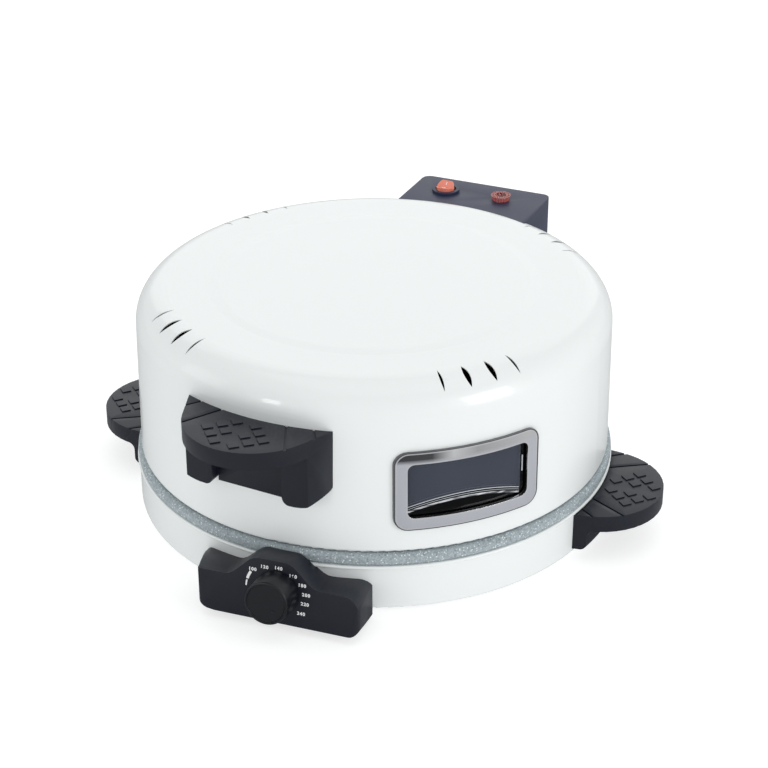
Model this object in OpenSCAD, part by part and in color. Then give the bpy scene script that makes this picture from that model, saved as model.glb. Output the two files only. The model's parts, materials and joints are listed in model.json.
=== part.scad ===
// Electric pizza maker: a round countertop cooker whose domed lid is hinged at the back.
// Millimetres. The table is at z = 0, and the front of the cooker faces -Y.
// The pieces are drawn round the upright axis of the round body. The finished model is
// then moved along Y, so that the origin is in the middle of the footprint.
// Angles round the body count from -Y towards +X.

/* [Lid] */
// Outer radius of the lid at the foot of its wall
lid_r = 212; // [200:0.5:224]
// Height of the lid from its bottom edge to the flat of its top
lid_h = 148.6; // [135:0.1:170]
// How much narrower the lid's wall is at its top than at its bottom edge
lid_draft = 1.6; // [0:0.1:4]
// Radius of the rounded edge round the lid's top
lid_round = 29.5; // [22:0.5:36]
// Thickness of the lid's sheet steel
lid_t = 0.9; // [0.6:0.1:1.4]
// Radius of the curl that turns the wall's bottom edge in
lid_curl = 2.5; // [2:0.1:4]
// Width of the flange turned in round the lid's bottom edge
lid_flange_w = 10; // [6:0.5:14]
// Distance of the raised round panel on the lid's top from the lid's wall
emboss_in = 75.5; // [72:0.5:110]
// Width of the sloping edge of the raised panel
emboss_slope = 9.5; // [4:0.5:14]
// Height of the raised panel
emboss_h = 1; // [0.5:0.1:3]
// Air gap between the lid's bottom edge and the baking plate's rim
lid_gap = 0.9; // [0.3:0.1:1.5]
// Space between the lid's wall and its inner liner
liner_gap = 11; // [9.5:0.5:16]
// Space between the lid's top and its inner liner
liner_drop = 21; // [14:1:34]
// Thickness of the liner's sheet steel
liner_t = 0.7; // [0.5:0.1:1.2]

/* [Lid vents] */
// Angles of the middles of the groups of vents
vent_groups = [-36.4, 50.3, 143.9, -118.7];
// Angle from one vent to the next
vent_pitch = 6.6; // [5:0.1:9]
// Widths of the vents in a group, from left to right
vent_widths = [2.4, 5, 5, 2.4];
// Length of each vent over the rounded edge
vent_l = 23; // [14:0.5:25]
// Steepness of the surface at the middle of a vent, where 90 is level
vent_face = 68; // [50:1:75]

/* [Window] */
// Angle of the window's middle
window_turn = 45.9; // [30:0.1:60]
// Width of the window's opening
window_w = 107; // [70:1:120]
// Height of the window's opening
window_h = 50; // [30:0.5:60]
// Height of the opening's middle above the lid's bottom edge
window_z = 57.5; // [45:0.5:75]
// Width of the window's steel frame
frame_w = 11.1; // [10.5:0.1:18]
// How far the frame stands out from the lid's wall
frame_t = 2.4; // [1.5:0.1:4]
// Radius of the frame's outer corners
frame_round = 12; // [6:0.5:16]
// Radius of the opening's corners
opening_round = 6; // [3:0.5:10]
// Thickness of the window glass
glass_t = 4; // [3:0.5:5]
// Thickness of the gasket between the glass and the lid's wall
gasket_t = 1.6; // [1:0.1:2]

/* [Base] */
// How far the base's wall stands out past the foot of the lid's wall
base_step = 2.7; // [1.5:0.1:5]
// Height of the base's wall
base_h = 42.8; // [38:0.5:52]
// Thickness of the base's sheet steel
base_t = 0.9; // [0.6:0.1:1.4]
// Radius of the bead rolled round the top of the base's wall
bead_r = 1.6; // [1.2:0.1:3]
// Height of the feet under the base
foot_h = 8; // [5:0.5:14]
// Radius of a foot where it stands
foot_r = 11; // [8:0.5:15]
// Distance of the feet's middles from the base's wall
foot_in = 38; // [30:1:60]
// How far the baking plate's rim stands out past the foot of the lid's wall
rim_over = 3.4; // [1:0.1:4]
// Height of the baking plate's rim
rim_h = 10.6; // [9:0.1:16]
// Thickness of the baking plate's floor
plate_t = 4; // [3:0.5:6]
// Angle by which the control panel is turned from the hinge's centre line
panel_turn = 4.3; // [-8:0.1:8]
// Angle by which the side grips are turned from the hinge's cross line
side_turn = 3.4; // [-8:0.1:8]

/* [Heating elements] */
// Radius of a heating element's tube
element_r = 3.25; // [2.5:0.05:4]
// Distance of the outer loop from the foot of the lid's wall
loop_in = 62; // [50:1:70]
// Distance from the outer loop to the inner loop
loop_gap = 40; // [32:1:55]
// Half of the space between the ends of the outer loop
leg_outer_x = 31; // [26:1:36]
// Half of the space between the ends of the inner loop
leg_inner_x = 13; // [9:1:16]
// Distance from the liner's top to the middle of the upper element
upper_drop = 15; // [10:1:24]
// Distance from the baking plate's underside to the middle of the lower element
lower_drop = 8; // [6:0.5:10]

/* [Grips] */
// Angle of the lid's handle
handle_turn = -3.5; // [-10:0.1:10]
// How far the grips reach out from the wall
grip_out = 54.7; // [44:0.1:66]
// Radius of a grip's round front
grip_front_r = 59.2; // [48:0.1:60]
// Half of the lid handle's width at the wall
handle_half_w = 67.5; // [60:0.5:76]
// Half of a side grip's width at the wall
side_half_w = 60.5; // [60:0.5:70]
// Thickness of a grip's pad
pad_t = 15.2; // [10:0.1:18]
// Height of the top of the lid's handle above the lid's bottom edge
handle_z = 112; // [100:0.5:118]
// Height of the whole lid handle
handle_h = 64; // [50:1:75]
// Width of the long round at the lower corners of the lid's handle
handle_corner_w = 28; // [10:1:32]
// Height of the same round
handle_corner_h = 15; // [8:1:28]
// How far the handle's two bosses stand out from the wall
boss_reach = 12; // [8:0.5:18]
// Half of the space between the two bosses
boss_gap = 33; // [24:0.5:36]
// How far the web between the bosses stands out from the wall
web_reach = 2.5; // [1.5:0.5:6]
// Depth of the top of the side grips below the baking plate's rim
side_drop = 13.9; // [12:0.1:18]
// Height of a side grip at the wall
side_h = 34.5; // [28:0.5:38]
// How far a side grip's root stands out from the wall
side_root = 11; // [9:0.1:16]
// Distance from one square of the pad's pattern to the next
tile_pitch = 12.2; // [11:0.1:14]
// Side of one square
tile_w = 8.4; // [6:0.1:10]
// Height of the squares
tile_h = 1; // [0.5:0.1:2]
// Distance from the lid handle's tip to the middle of its pattern
pattern_in = 28.5; // [26:0.5:31]
// The same distance on the side grips
side_pattern_in = 26.5; // [24:0.5:29]
// Width of the grooves across a pad
groove_w = 2; // [1:0.1:4]
// Depth of the grooves
groove_d = 1.2; // [0.5:0.1:2]

/* [Control panel] */
// Half of the panel's width at its front
panel_half_w = 71.7; // [64:0.1:76]
// How much wider each side of the panel is at the wall
panel_flare = 3.8; // [0:0.1:8]
// How far the panel's sides lean over to the left on their way to the wall
panel_skew = 6.8; // [0:0.1:8]
// Sideways place of the panel's middle and its knob
panel_shift = 2.5; // [-4:0.1:4]
// Distance of the foot of the panel's face from the base's wall
panel_out = 32.3; // [28:0.1:40]
// Height of the panel's shoulders, measured up its face
shoulder_h = 36; // [32:0.5:40]
// Height of the panel's hump, measured up its face
hump_h = 55.5; // [50:0.5:58]
// Half of the flat top of the hump
hump_half_w = 12; // [6:0.5:20]
// Half of the hump's width where it meets the shoulders
hump_foot = 42; // [34:0.5:48]
// Sideways place of the hump's middle, from the panel's middle
hump_shift = -5; // [-7:0.5:4]
// Lean of the panel's face from upright
panel_lean = 8; // [0:0.5:14]
// Wall thickness of the panel
panel_t = 3; // [2:0.5:4]
// Height of the knob's axis, measured up the face
knob_h = 28.1; // [26:0.1:32]
// Radius of the knob
knob_r = 19.4; // [15:0.1:21]
// Length of the knob
knob_l = 23; // [16:0.5:28]
// Radius of the thermostat's spindle
spindle_r = 3; // [2.5:0.1:4]

/* [Rear box] */
// Sideways place of the rear box's middle
box_x = 10.5; // [-12:0.5:15]
// Width of the rear box
box_w = 132; // [120:1:140]
// How far the box stands out behind the lid's wall
box_out = 36; // [34:0.5:44]
// Depth of the box's top below the flat of the lid's top
box_drop = 1; // [0.5:0.1:5]
// Height of the box's bottom above the lid's bottom edge
box_z = 8; // [6:0.5:20]
// Radius of the box's upright corners
box_round = 8; // [4:0.5:10]
// Wall thickness of the box
box_t = 2.5; // [2:0.1:4]
// Place of the switch, from the middle of the box's back
switch_at = [-32, -30];
// Outer radius of the switch's bezel
bezel_r = 13.2; // [12.8:0.1:15]
// Place of the pilot lamp, from the middle of the box's back
lamp_at = [25, -29.2];
// Radius of the pilot lamp's lens
lens_r = 8.4; // [6:0.1:10]

/* [Hinge] */
// Radius of the hinge pin
pin_r = 3; // [2.5:0.1:4]
// Space between the base's bead and the hinge's knuckles
knuckle_gap = 4.2; // [3:0.1:6]
// Depth of the hinge pin below the lid's bottom edge
pin_drop = 7; // [4:0.5:10]
// Wall round the hinge pin in its knuckles
knuckle_wall = 4.5; // [3.5:0.1:5]
// Width of each knuckle of the lid
knuckle_w = 14; // [10:0.5:18]
// Width of each ear of the base's bracket
ear_w = 8; // [6:0.5:10]
// Distance between the middles of the lid's two knuckles
knuckle_span = 68; // [56:1:76]

/* [Fits] */
// Clearance between the turning knuckles and the ears beside them
side_gap = 0.5; // [0.3:0.1:1]
// Radial clearance of a pin that turns in its bore
run_gap = 0.05; // [0.02:0.01:0.1]
// Clearance round pieces that drop into an opening
seat_gap = 0.3; // [0.2:0.05:0.6]
// Radius of the fixing screws
screw_r = 2; // [1.5:0.1:2.5]
// Bore of the cord's bush
cord_r = 3.75; // [3:0.05:4.5]

/* [Hidden] */

$fn = 64;
fine = 160;
eps = 0.01;
bore_gap = 0.3;

// Heights of the main seams
base_z = foot_h;
rim_z = base_z + base_h;
lid_z = rim_z + rim_h + lid_gap;
plate_floor_z = rim_z - 1;
plate_under_z = plate_floor_z - plate_t;
lid_top_r = lid_r - lid_draft;
emboss_r = lid_r - emboss_in;
base_r = lid_r + base_step;
plate_r = lid_r + rim_over;
bead_reach = base_r + bead_r;
bead_low = rim_z - 2 * bead_r - seat_gap;
round_x = lid_top_r - lid_round;
round_z = lid_h - lid_round;

// Base
foot_place = base_r - foot_in;
bottom_flange_w = 16;
bottom_round = 4;
top_flange_w = 14;
bottom_t = 0.8;
ring_places = [70, 135];
ring_w = 8;
ring_h = 1.4;
slot_place = 103;
slot_w = 4;
slot_l = 26;
slot_pitch = 11;
plate_inner_r = base_r - top_flange_w - 1;
rim_inner_r = plate_inner_r + 9;
rim_round = 4.5;
rim_foot_round = 2.5;
plate_edge = 2;
reflector_r = plate_inner_r - 8;
reflector_z = base_z + 15;
reflector_t = 0.7;
spacer_r = 5;
spacer_place = 90;
lower_element_z = plate_under_z - lower_drop;

// Heating elements
loop_outer = lid_r - loop_in;
loop_inner = loop_outer - loop_gap;
clip_w = 10;
clip_t = 1.2;
clip_over = 12;
leg_hole_l = 30;

// Terminal block behind the lower reflector
block_gap = 0.5;
terminal_y = reflector_r + block_gap;
terminal_size = [48, 12, 12];
terminal_pitch = 32;

// Liner of the lid
liner_r = lid_r - lid_t - liner_gap;
liner_h = lid_h - liner_drop;
liner_round = 22;
upper_element_z = lid_z + liner_h - liner_t - upper_drop;

// Window: radial depths of its layers, counted inwards from the lid's outside
glass_in = lid_t + gasket_t;
retainer_in = glass_in + glass_t;
retainer_t = 0.7;
// Window: how far the outline of each layer lies outside the opening
cut_out = 2;
liner_cut_out = 4;
gasket_inner = 1;
gasket_outer = 8.8;
glass_out = 7.8;
tray_inner = 9.4;
tray_outer = 10.4;
tray_hole = 3;
// Radial reach of the prisms that cut the window's layers out
window_near = lid_r - 42;
window_far = lid_r + 18;

// Grips
handle_reach = lid_r + grip_out;
side_reach = base_r + grip_out;
handle_top = lid_z + handle_z;
side_top = lid_z - lid_gap - side_drop;
handle_screw_in = 21.5;
handle_screw_x = handle_half_w - handle_screw_in;
handle_screw_z = handle_z - handle_h / 2 - 6;
side_screw_in = 24.5;
side_screw_x = side_half_w - side_screw_in;
side_fillet = 6;
side_foot_round = 5;
screw_bite = 9;
// Grooves: half spaces and distances from the grip's tip, at the wall and at the rim
handle_grooves = [[31, 56.6, 50, 20.6], [52, 63.6, 66, 42.6]];
side_grooves = [[28.5, 54.8, 47, 22.8], [50, 57.8, 59, 46.1]];

// Panel and knob
panel_reach = base_r + panel_out;
panel_depth = 60;
panel_end = 9;
// Radii of the face's corners, on the left and on the right
panel_low_r = [27, 8];
panel_high_r = [8, 14];
panel_left = panel_half_w + panel_flare + panel_skew;
panel_right = panel_half_w + panel_flare - panel_skew;
wire_w = 60;
wire_h = 22;
knob_gap = 0.6;
knob_top_r = knob_r - 0.5;
knob_bevel = 1.2;
knob_end_r = knob_top_r - knob_bevel;
thermostat_size = [30, 36, 16];
bush_r = 5;
bush_l = 7;
panel_screw_in = 14;
pointer_angle = -153;

// Rear box
box_reach = lid_r + box_out;
box_top = lid_z + lid_h - box_drop;
box_bottom = lid_z + box_z;
box_inner_w = box_w - 2 * box_t;
bezel_h = 2.5;
housing_l = 17;
housing_wall = 2.1;
rocker_r = 9.6;
rocker_gap = 0.4;
axle_r = 1;
axle_gap = 0.15;
rocker_h = 9.6;
rocker_throw = 26;
lens_h = 4.5;
cover_t = 2.5;
cover_edge = 16;

// Hinge
pin_z = lid_z - pin_drop;
knuckle_r = pin_r + knuckle_wall;
pin_reach = bead_reach + knuckle_gap + knuckle_r;
ear_in = bead_reach + 1;
ear_x = knuckle_span / 2 + knuckle_w / 2 + side_gap + ear_w / 2;
pin_half_l = ear_x + ear_w / 2 + 1.5;
block_half_w = knuckle_span / 2 + knuckle_w / 2;
block_z = box_bottom + box_t + 1;
block_h = 44;
bracket_h = base_h - 12;
bracket_z = base_z + 3;

// Middle of the footprint, from the axis of the body
screw_head_h = 1.4;
knob_out = panel_reach + (knob_gap + knob_l) * cos(panel_lean) - knob_h * sin(panel_lean);
knob_reach = knob_out * cos(panel_turn) - panel_shift * sin(panel_turn)
    + knob_end_r * norm([sin(panel_lean) * cos(panel_turn), sin(panel_turn)]);
front_reach = max(knob_reach, (handle_reach - grip_front_r) * cos(handle_turn) + grip_front_r);
centre_y = (front_reach - box_reach - cover_t - screw_head_h) / 2;

// ---------------------------------------------------------------- helpers

// Turns children to an angle round the body: -Y of the children points outwards
module at(angle) rotate(angle) children();

// Stands a flat outline upright: its y becomes height, and it is pushed out along -Y
module upright(near, far) translate([0, -near, 0]) rotate([90, 0, 0])
    linear_extrude(far - near) children();

// One corner of an outline, as points on an arc
function arc(cx, cy, r, from, to, steps = 6) =
    [for (i = [0:steps]) let (a = from + (to - from) * i / steps) [cx + r * cos(a), cy + r * sin(a)]];

function rounded(w, h, r) = concat(
    arc(w / 2 - r, h / 2 - r, r, 0, 90), arc(-w / 2 + r, h / 2 - r, r, 90, 180),
    arc(-w / 2 + r, -h / 2 + r, r, 180, 270), arc(w / 2 - r, -h / 2 + r, r, 270, 360));

// The quarter of a disc in the upper right corner
module quarter(r) intersection() {
    circle(r = r, $fn = fine);
    square(r);
}

// A screw along +Z from its head's underside down: the head is above z = 0
module screw(l, head_r = 2 * screw_r, head_h = screw_head_h) {
    translate([0, 0, -l]) cylinder(r = screw_r, h = l, $fn = 24);
    difference() {
        cylinder(r = head_r, h = head_h, $fn = 24);
        for (turn = [0, 90]) rotate(turn)
            translate([-head_r * 0.6, -0.35, head_h - 0.7]) cube([head_r * 1.2, 0.7, 1]);
    }
}

// Holes for a screw in a sheet, and in the piece that its thread bites into
module screw_hole() cylinder(r = screw_r + bore_gap, h = 30, center = true, $fn = 24);

module screw_bore(l = 2 * screw_bite) cylinder(r = screw_r, h = l, center = true, $fn = 24);

// ---------------------------------------------------------------- lid

// Radius of the lid's wall at a height above its bottom edge
function wall_r(z) = lid_r - lid_draft * (z - lid_curl) / (round_z - lid_curl);

// Half of the lid's section: the sheet's outer face moved inwards by depth
module lid_half(depth) {
    square([lid_r - lid_curl, lid_curl]);
    translate([lid_r - lid_curl, lid_curl]) mirror([0, 1]) quarter(lid_curl - depth);
    polygon([[0, lid_curl], [lid_r - depth, lid_curl], [lid_top_r - depth, round_z], [0, round_z]]);
    translate([0, round_z]) square([round_x, lid_round - depth]);
    translate([round_x, round_z]) quarter(lid_round - depth);
    polygon([[0, lid_h - depth], [emboss_r + emboss_slope, lid_h - depth],
        [emboss_r, lid_h + emboss_h - depth], [0, lid_h + emboss_h - depth]]);
}

// The space that the closed lid takes up, for cutting what is fitted against it
module lid_body() translate([0, 0, lid_z]) rotate_extrude($fn = fine) lid_half(0);

// A band of the lid's wall between two depths below its outer face
module lid_band(outer, inner) translate([0, 0, lid_z]) rotate_extrude($fn = fine)
    polygon([[lid_r - inner, lid_curl], [lid_r - outer, lid_curl],
        [lid_top_r - outer, round_z], [lid_top_r - inner, round_z]]);

// A slot with round ends
function slot_outline(w, l) = concat(
    arc(0, l / 2 - w / 2, w / 2, 0, 180), arc(0, -l / 2 + w / 2, w / 2, 180, 360));

// A slot that narrows to both ends: two shallow arcs
function vent_outline(w, l) = let (bow = (l * l + w * w) / (4 * w), half = asin(l / 2 / bow))
    concat(arc(w / 2 - bow, 0, bow, -half, half, 8), arc(bow - w / 2, 0, bow, 180 - half, 180 + half, 8));

module vent(w) translate([0, -round_x, lid_z + round_z]) rotate([90 - vent_face, 0, 0])
    translate([0, 0, lid_round - 7]) linear_extrude(10) polygon(vent_outline(w, vent_l));

module vents() for (group = vent_groups, i = [0:len(vent_widths) - 1])
    at(group + (i - (len(vent_widths) - 1) / 2) * vent_pitch) vent(vent_widths[i]);

// An upright prism through the window, wider and higher than the opening by grow on every side
module window_prism(grow, corner = opening_round, over = 0) at(window_turn)
    translate([0, 0, lid_z + window_z]) upright(window_near - over, window_far + over)
        polygon(rounded(window_w + 2 * grow, window_h + 2 * grow, corner));

module lid_shell() color("white") difference() {
    translate([0, 0, lid_z]) rotate_extrude($fn = fine) {
        difference() {
            lid_half(0);
            lid_half(lid_t);
        }
        translate([lid_r - lid_flange_w, 0]) square([lid_flange_w - lid_curl, lid_t]);
    }
    vents();
    window_prism(cut_out, opening_round + cut_out);
    handle_screw_places() screw_hole();
    hinge_block_screw_places() screw_hole();
    // Way for the wires and the upper element's ends into the rear box
    translate([0, lid_r, upper_element_z]) cube([2 * leg_outer_x + 20, 40, 4 * element_r], center = true);
}

module lid_liner() color("lightgray") difference() {
    translate([0, 0, lid_z + lid_t]) rotate_extrude($fn = fine) difference() {
        union() {
            translate([liner_r - liner_t / 2, 0])
                square([lid_r - lid_curl - seat_gap - liner_r + liner_t / 2, liner_t]);
            liner_half(0);
        }
        liner_half(liner_t);
    }
    window_prism(liner_cut_out, opening_round + liner_cut_out);
    leg_places() translate([0, liner_r, upper_element_z]) rotate([90, 0, 0])
        cylinder(r = element_r + 1, h = leg_hole_l, center = true);
}

module liner_half(depth) {
    translate([0, -depth]) square([liner_r - depth, liner_h - lid_t - liner_round + depth]);
    translate([0, liner_h - lid_t - liner_round]) square([liner_r - liner_round, liner_round - depth]);
    translate([liner_r - liner_round, liner_h - lid_t - liner_round]) quarter(liner_round - depth);
}

// ---------------------------------------------------------------- heating elements

loops = [[loop_outer, leg_outer_x], [loop_inner, leg_inner_x]];

// Two open loops, whose four ends are led straight out to the back
module element(leg_end) for (loop = loops) {
    gap = asin(loop[1] / loop[0]);
    start = sqrt(pow(loop[0], 2) - pow(loop[1], 2));
    rotate(90 + gap) rotate_extrude(angle = 360 - 2 * gap, $fn = fine)
        translate([loop[0], 0]) circle(r = element_r, $fn = 24);
    for (side = [-1, 1]) translate([side * loop[1], start, 0]) {
        sphere(r = element_r + 0.3, $fn = 32);
        rotate([-90, 0, 0]) cylinder(r = element_r, h = leg_end - start, $fn = 24);
    }
}

module leg_places() for (loop = loops, side = [-1, 1]) translate([side * loop[1], 0, 0]) children();

module upper_element() color("dimgray") translate([0, 0, upper_element_z]) element(lid_r + 6);

module lower_element() color("dimgray") translate([0, 0, lower_element_z]) element(terminal_y);

// Saddle strips that hold both loops: lift is from the element's middle to the sheet that carries them
module clips(lift) for (angle = [0, 120, 240]) rotate(angle + 30) {
    translate([loop_inner - clip_over, -clip_w / 2, -element_r - clip_t])
        cube([loop_outer - loop_inner + 2 * clip_over, clip_w, clip_t]);
    for (x = [loop_inner - clip_over, loop_outer + clip_over - clip_t])
        translate([x, -clip_w / 2, -element_r - clip_t]) cube([clip_t, clip_w, lift + element_r + clip_t]);
}

module upper_clips() color("silver") translate([0, 0, upper_element_z]) clips(upper_drop);

module lower_clips() color("silver") translate([0, 0, lower_element_z])
    mirror([0, 0, 1]) clips(lower_element_z - reflector_z - reflector_t);

// ---------------------------------------------------------------- window

module window_frame() color("silver") difference() {
    union() {
        intersection() {
            lid_band(-frame_t, 0);
            window_prism(frame_w, frame_round);
        }
        intersection() {
            lid_band(-frame_t, lid_t);
            window_prism(cut_out - seat_gap, opening_round + cut_out - seat_gap);
        }
    }
    window_prism(0, over = 10);
}

module window_gasket() color("black") difference() {
    intersection() {
        lid_band(lid_t, glass_in);
        window_prism(gasket_outer, opening_round + gasket_outer);
    }
    window_prism(gasket_inner, opening_round + gasket_inner, 10);
}

module window_glass() color([0.2, 0.22, 0.26, 0.6]) intersection() {
    lid_band(glass_in, retainer_in);
    window_prism(glass_out, opening_round + glass_out);
}

// A shallow tray behind the glass: its edge is welded to the wall
module window_retainer() color("gray") difference() {
    intersection() {
        lid_band(lid_t, retainer_in + retainer_t);
        window_prism(tray_outer, opening_round + tray_outer);
    }
    intersection() {
        lid_band(0, retainer_in);
        window_prism(tray_inner, opening_round + tray_inner, 10);
    }
    window_prism(tray_hole, opening_round + tray_hole, 10);
}

// ---------------------------------------------------------------- grips

// The plan of a grip, drawn in the +Y half: half is its half width where it meets the wall
function grip_plan(half, reach, wall) = let (
    centre = reach - grip_front_r,
    flank = acos(grip_front_r / norm([half, wall - centre])) + atan2(wall - centre, half))
    concat(
        [[-half, wall - 20], [half, wall - 20], [half, wall]],
        arc(0, centre, grip_front_r, flank, 180 - flank, 20),
        [[-half, wall]]);

// Distance of a round wall from the cross line, sideways by x
function chord(r, x) = sqrt(pow(r, 2) - pow(x, 2));

module handle_plan(low, high) translate([0, 0, low]) linear_extrude(high - low) mirror([0, 1])
    polygon(grip_plan(handle_half_w, handle_reach, chord(lid_r, handle_half_w) - 1.5));

module side_plan(low, high) translate([0, 0, low]) linear_extrude(high - low) mirror([0, 1])
    polygon(grip_plan(side_half_w, side_reach, chord(base_r, side_half_w) - 1.5));

module grip_pattern(middle, top) {
    diagonal = tile_pitch / sqrt(2);
    for (i = [0:3], j = [0:3]) if (i + j != 3)
        translate([(i + j - 3) * diagonal, (i - j) * diagonal - middle, top - 1]) rotate(45)
            linear_extrude(1 + tile_h) square(tile_w, center = true);
}

// Grooves on both sides, which spread from the wall to the rim
module grip_grooves(grooves, reach, top) for (side = [-1, 1], line = grooves)
    translate([side * line[0], line[1] - reach, top])
        rotate(side * atan2(line[2] - line[0], line[1] - line[3]))
            translate([-groove_w / 2, -60, -groove_d]) cube([groove_w, 66, 2 * groove_d]);

module lid_handle() color([0.2, 0.21, 0.25]) at(handle_turn) difference() {
    union() {
        difference() {
            handle_plan(handle_top - pad_t, handle_top);
            grip_grooves(handle_grooves, handle_reach, handle_top);
        }
        grip_pattern(handle_reach - pattern_in, handle_top);
        intersection() {
            handle_plan(handle_top - handle_h, handle_top - pad_t + eps);
            handle_skirt();
        }
    }
    lid_body();
    for (side = [-1, 1]) translate([side * handle_screw_x, -lid_r, lid_z + handle_screw_z]) rotate([90, 0, 0])
        screw_bore();
}

// The handle's back: two bosses with a thinner web between them. Their lower corners are long rounds
module handle_skirt() intersection() {
    union() {
        for (side = [-1, 1]) translate([side * (boss_gap + handle_half_w) / 2, 0, handle_top - handle_h / 2])
            cube([handle_half_w - boss_gap, 2 * (lid_r + boss_reach), handle_h + 2], center = true);
        translate([0, 0, handle_top - handle_h / 2])
            cube([2 * boss_gap + 1, 2 * (lid_r + web_reach), handle_h + 2], center = true);
    }
    upright(lid_r / 2, handle_reach + 30) polygon([
        for (i = [0:8]) let (a = 180 + 90 * i / 8) handle_corner(-1, a),
        for (i = [0:8]) let (a = 270 + 90 * i / 8) handle_corner(1, a),
        [handle_half_w, handle_top], [-handle_half_w, handle_top]]);
}

// A point on the long round of one lower corner
function handle_corner(side, a) = [
    side * (handle_half_w - handle_corner_w) + handle_corner_w * cos(a),
    handle_top - handle_h + handle_corner_h * (1 + sin(a))];

module handle_screw_places() at(handle_turn) for (side = [-1, 1])
    translate([side * handle_screw_x, -chord(wall_r(handle_screw_z), handle_screw_x), lid_z + handle_screw_z])
        rotate([-90, 0, 0]) children();

module handle_screws() color("gray") handle_screw_places()
    translate([0, 0, lid_t + 1.6]) screw(screw_bite + 2);

// The space that the base and its bead take up, for cutting what is fitted against them
module base_body() {
    cylinder(r = base_r, h = 2 * rim_z, center = true, $fn = fine);
    translate([0, 0, bead_low]) cylinder(r = bead_reach + seat_gap, h = rim_z, $fn = fine);
}

module side_grip() difference() {
    union() {
        difference() {
            side_plan(side_top - pad_t, side_top);
            grip_grooves(side_grooves, side_reach, side_top);
        }
        grip_pattern(side_reach - side_pattern_in, side_top);
        intersection() {
            side_plan(side_top - side_h, side_top - pad_t + eps);
            side_root_solid();
        }
    }
    base_body();
    side_screw_places() screw_bore();
}

// The root of a side grip, round like the wall: it runs into the pad in a hollow curve
module side_root_solid() rotate_extrude($fn = fine) {
    translate([base_r - side_root, side_top - side_h])
        square([2 * side_root - side_foot_round, side_foot_round]);
    translate([base_r + side_root - side_foot_round, side_top - side_h + side_foot_round])
        mirror([0, 1]) quarter(side_foot_round);
    translate([base_r - side_root, side_top - side_h + side_foot_round])
        square([2 * side_root, side_h - side_foot_round - pad_t + 2 * eps]);
    translate([base_r + side_root - eps, side_top - pad_t - side_fillet]) difference() {
        square([side_fillet + eps, side_fillet + 2 * eps]);
        translate([side_fillet + eps, 0]) circle(r = side_fillet, $fn = fine);
    }
}

module side_screw_places() for (side = [-1, 1])
    translate([side * side_screw_x, -chord(base_r, side_screw_x), side_top - side_h / 2 - 3])
        rotate([-90, 0, 0]) children();

module side_grip_right() color([0.2, 0.21, 0.25]) at(side_turn + 90) side_grip();

module side_grip_left() color([0.2, 0.21, 0.25]) at(side_turn - 90) side_grip();

module grip_screws() color("gray") for (turn = [-90, 90]) at(side_turn + turn)
    side_screw_places() translate([0, 0, base_t + 1.2]) screw(8);

// ---------------------------------------------------------------- base

module base_shell() color("white") difference() {
    translate([0, 0, base_z]) rotate_extrude($fn = fine) {
        translate([base_r - base_t, bottom_round]) square([base_t, base_h - bottom_round]);
        translate([base_r - bottom_round, bottom_round]) mirror([0, 1]) difference() {
            quarter(bottom_round);
            circle(r = bottom_round - base_t, $fn = fine);
        }
        translate([base_r - bottom_flange_w, 0]) square([bottom_flange_w - bottom_round, base_t]);
        translate([base_r - top_flange_w, base_h - base_t]) square([top_flange_w, base_t]);
        // Bead rolled round the rim
        translate([base_r, base_h - bead_r]) quarter(bead_r);
        translate([base_r, base_h - bead_r]) mirror([0, 1]) quarter(bead_r);
    }
    // Way from the base into the control panel
    at(panel_turn) translate([0, -base_r, base_z + wire_h]) cube([wire_w, 40, wire_h], center = true);
    for (turn = [-90, 90]) at(side_turn + turn) side_screw_places() screw_hole();
    panel_screw_places() screw_hole();
    bracket_screw_places() screw_hole();
    bush_place() cylinder(r = bush_hole_r, h = 30, center = true);
    foot_places() screw_hole();
}

plate_disc_r = base_r - bottom_round - seat_gap;

module bottom_plate() color("silver") difference() {
    translate([0, 0, base_z + base_t]) union() {
        cylinder(r = plate_disc_r, h = bottom_t, $fn = fine);
        // Pressed rings that stiffen the sheet
        for (ring = ring_places) rotate_extrude($fn = fine)
            translate([ring, bottom_t]) square([ring_w, ring_h]);
    }
    translate([0, 0, base_z + base_t]) for (ring = ring_places) rotate_extrude($fn = fine)
        translate([ring + bottom_t, -eps]) square([ring_w - 2 * bottom_t, ring_h]);
    // Rows of cooling slots
    for (turn = [0:45:315]) rotate(turn + 22.5) for (step = [-1, 0, 1])
        translate([step * slot_pitch, slot_place, base_z])
            linear_extrude(10) polygon(slot_outline(slot_w, slot_l));
    foot_places() screw_hole();
}

module foot_places() for (turn = [45:90:315]) at(panel_turn + turn) translate([0, -foot_place, 0]) children();

module feet() color([0.12, 0.12, 0.13]) foot_places() difference() {
    union() {
        cylinder(r1 = foot_r, r2 = foot_r + 1.5, h = base_z);
        translate([0, 0, base_z - eps]) cylinder(r = foot_r + 1.5, h = base_t + eps);
    }
    translate([0, 0, -1]) cylinder(r = 2 * screw_r + 0.4, h = 4);
    screw_hole();
}

module foot_screws() color("gray") foot_places() translate([0, 0, 3]) mirror([0, 0, 1]) screw(base_z + 3);

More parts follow.
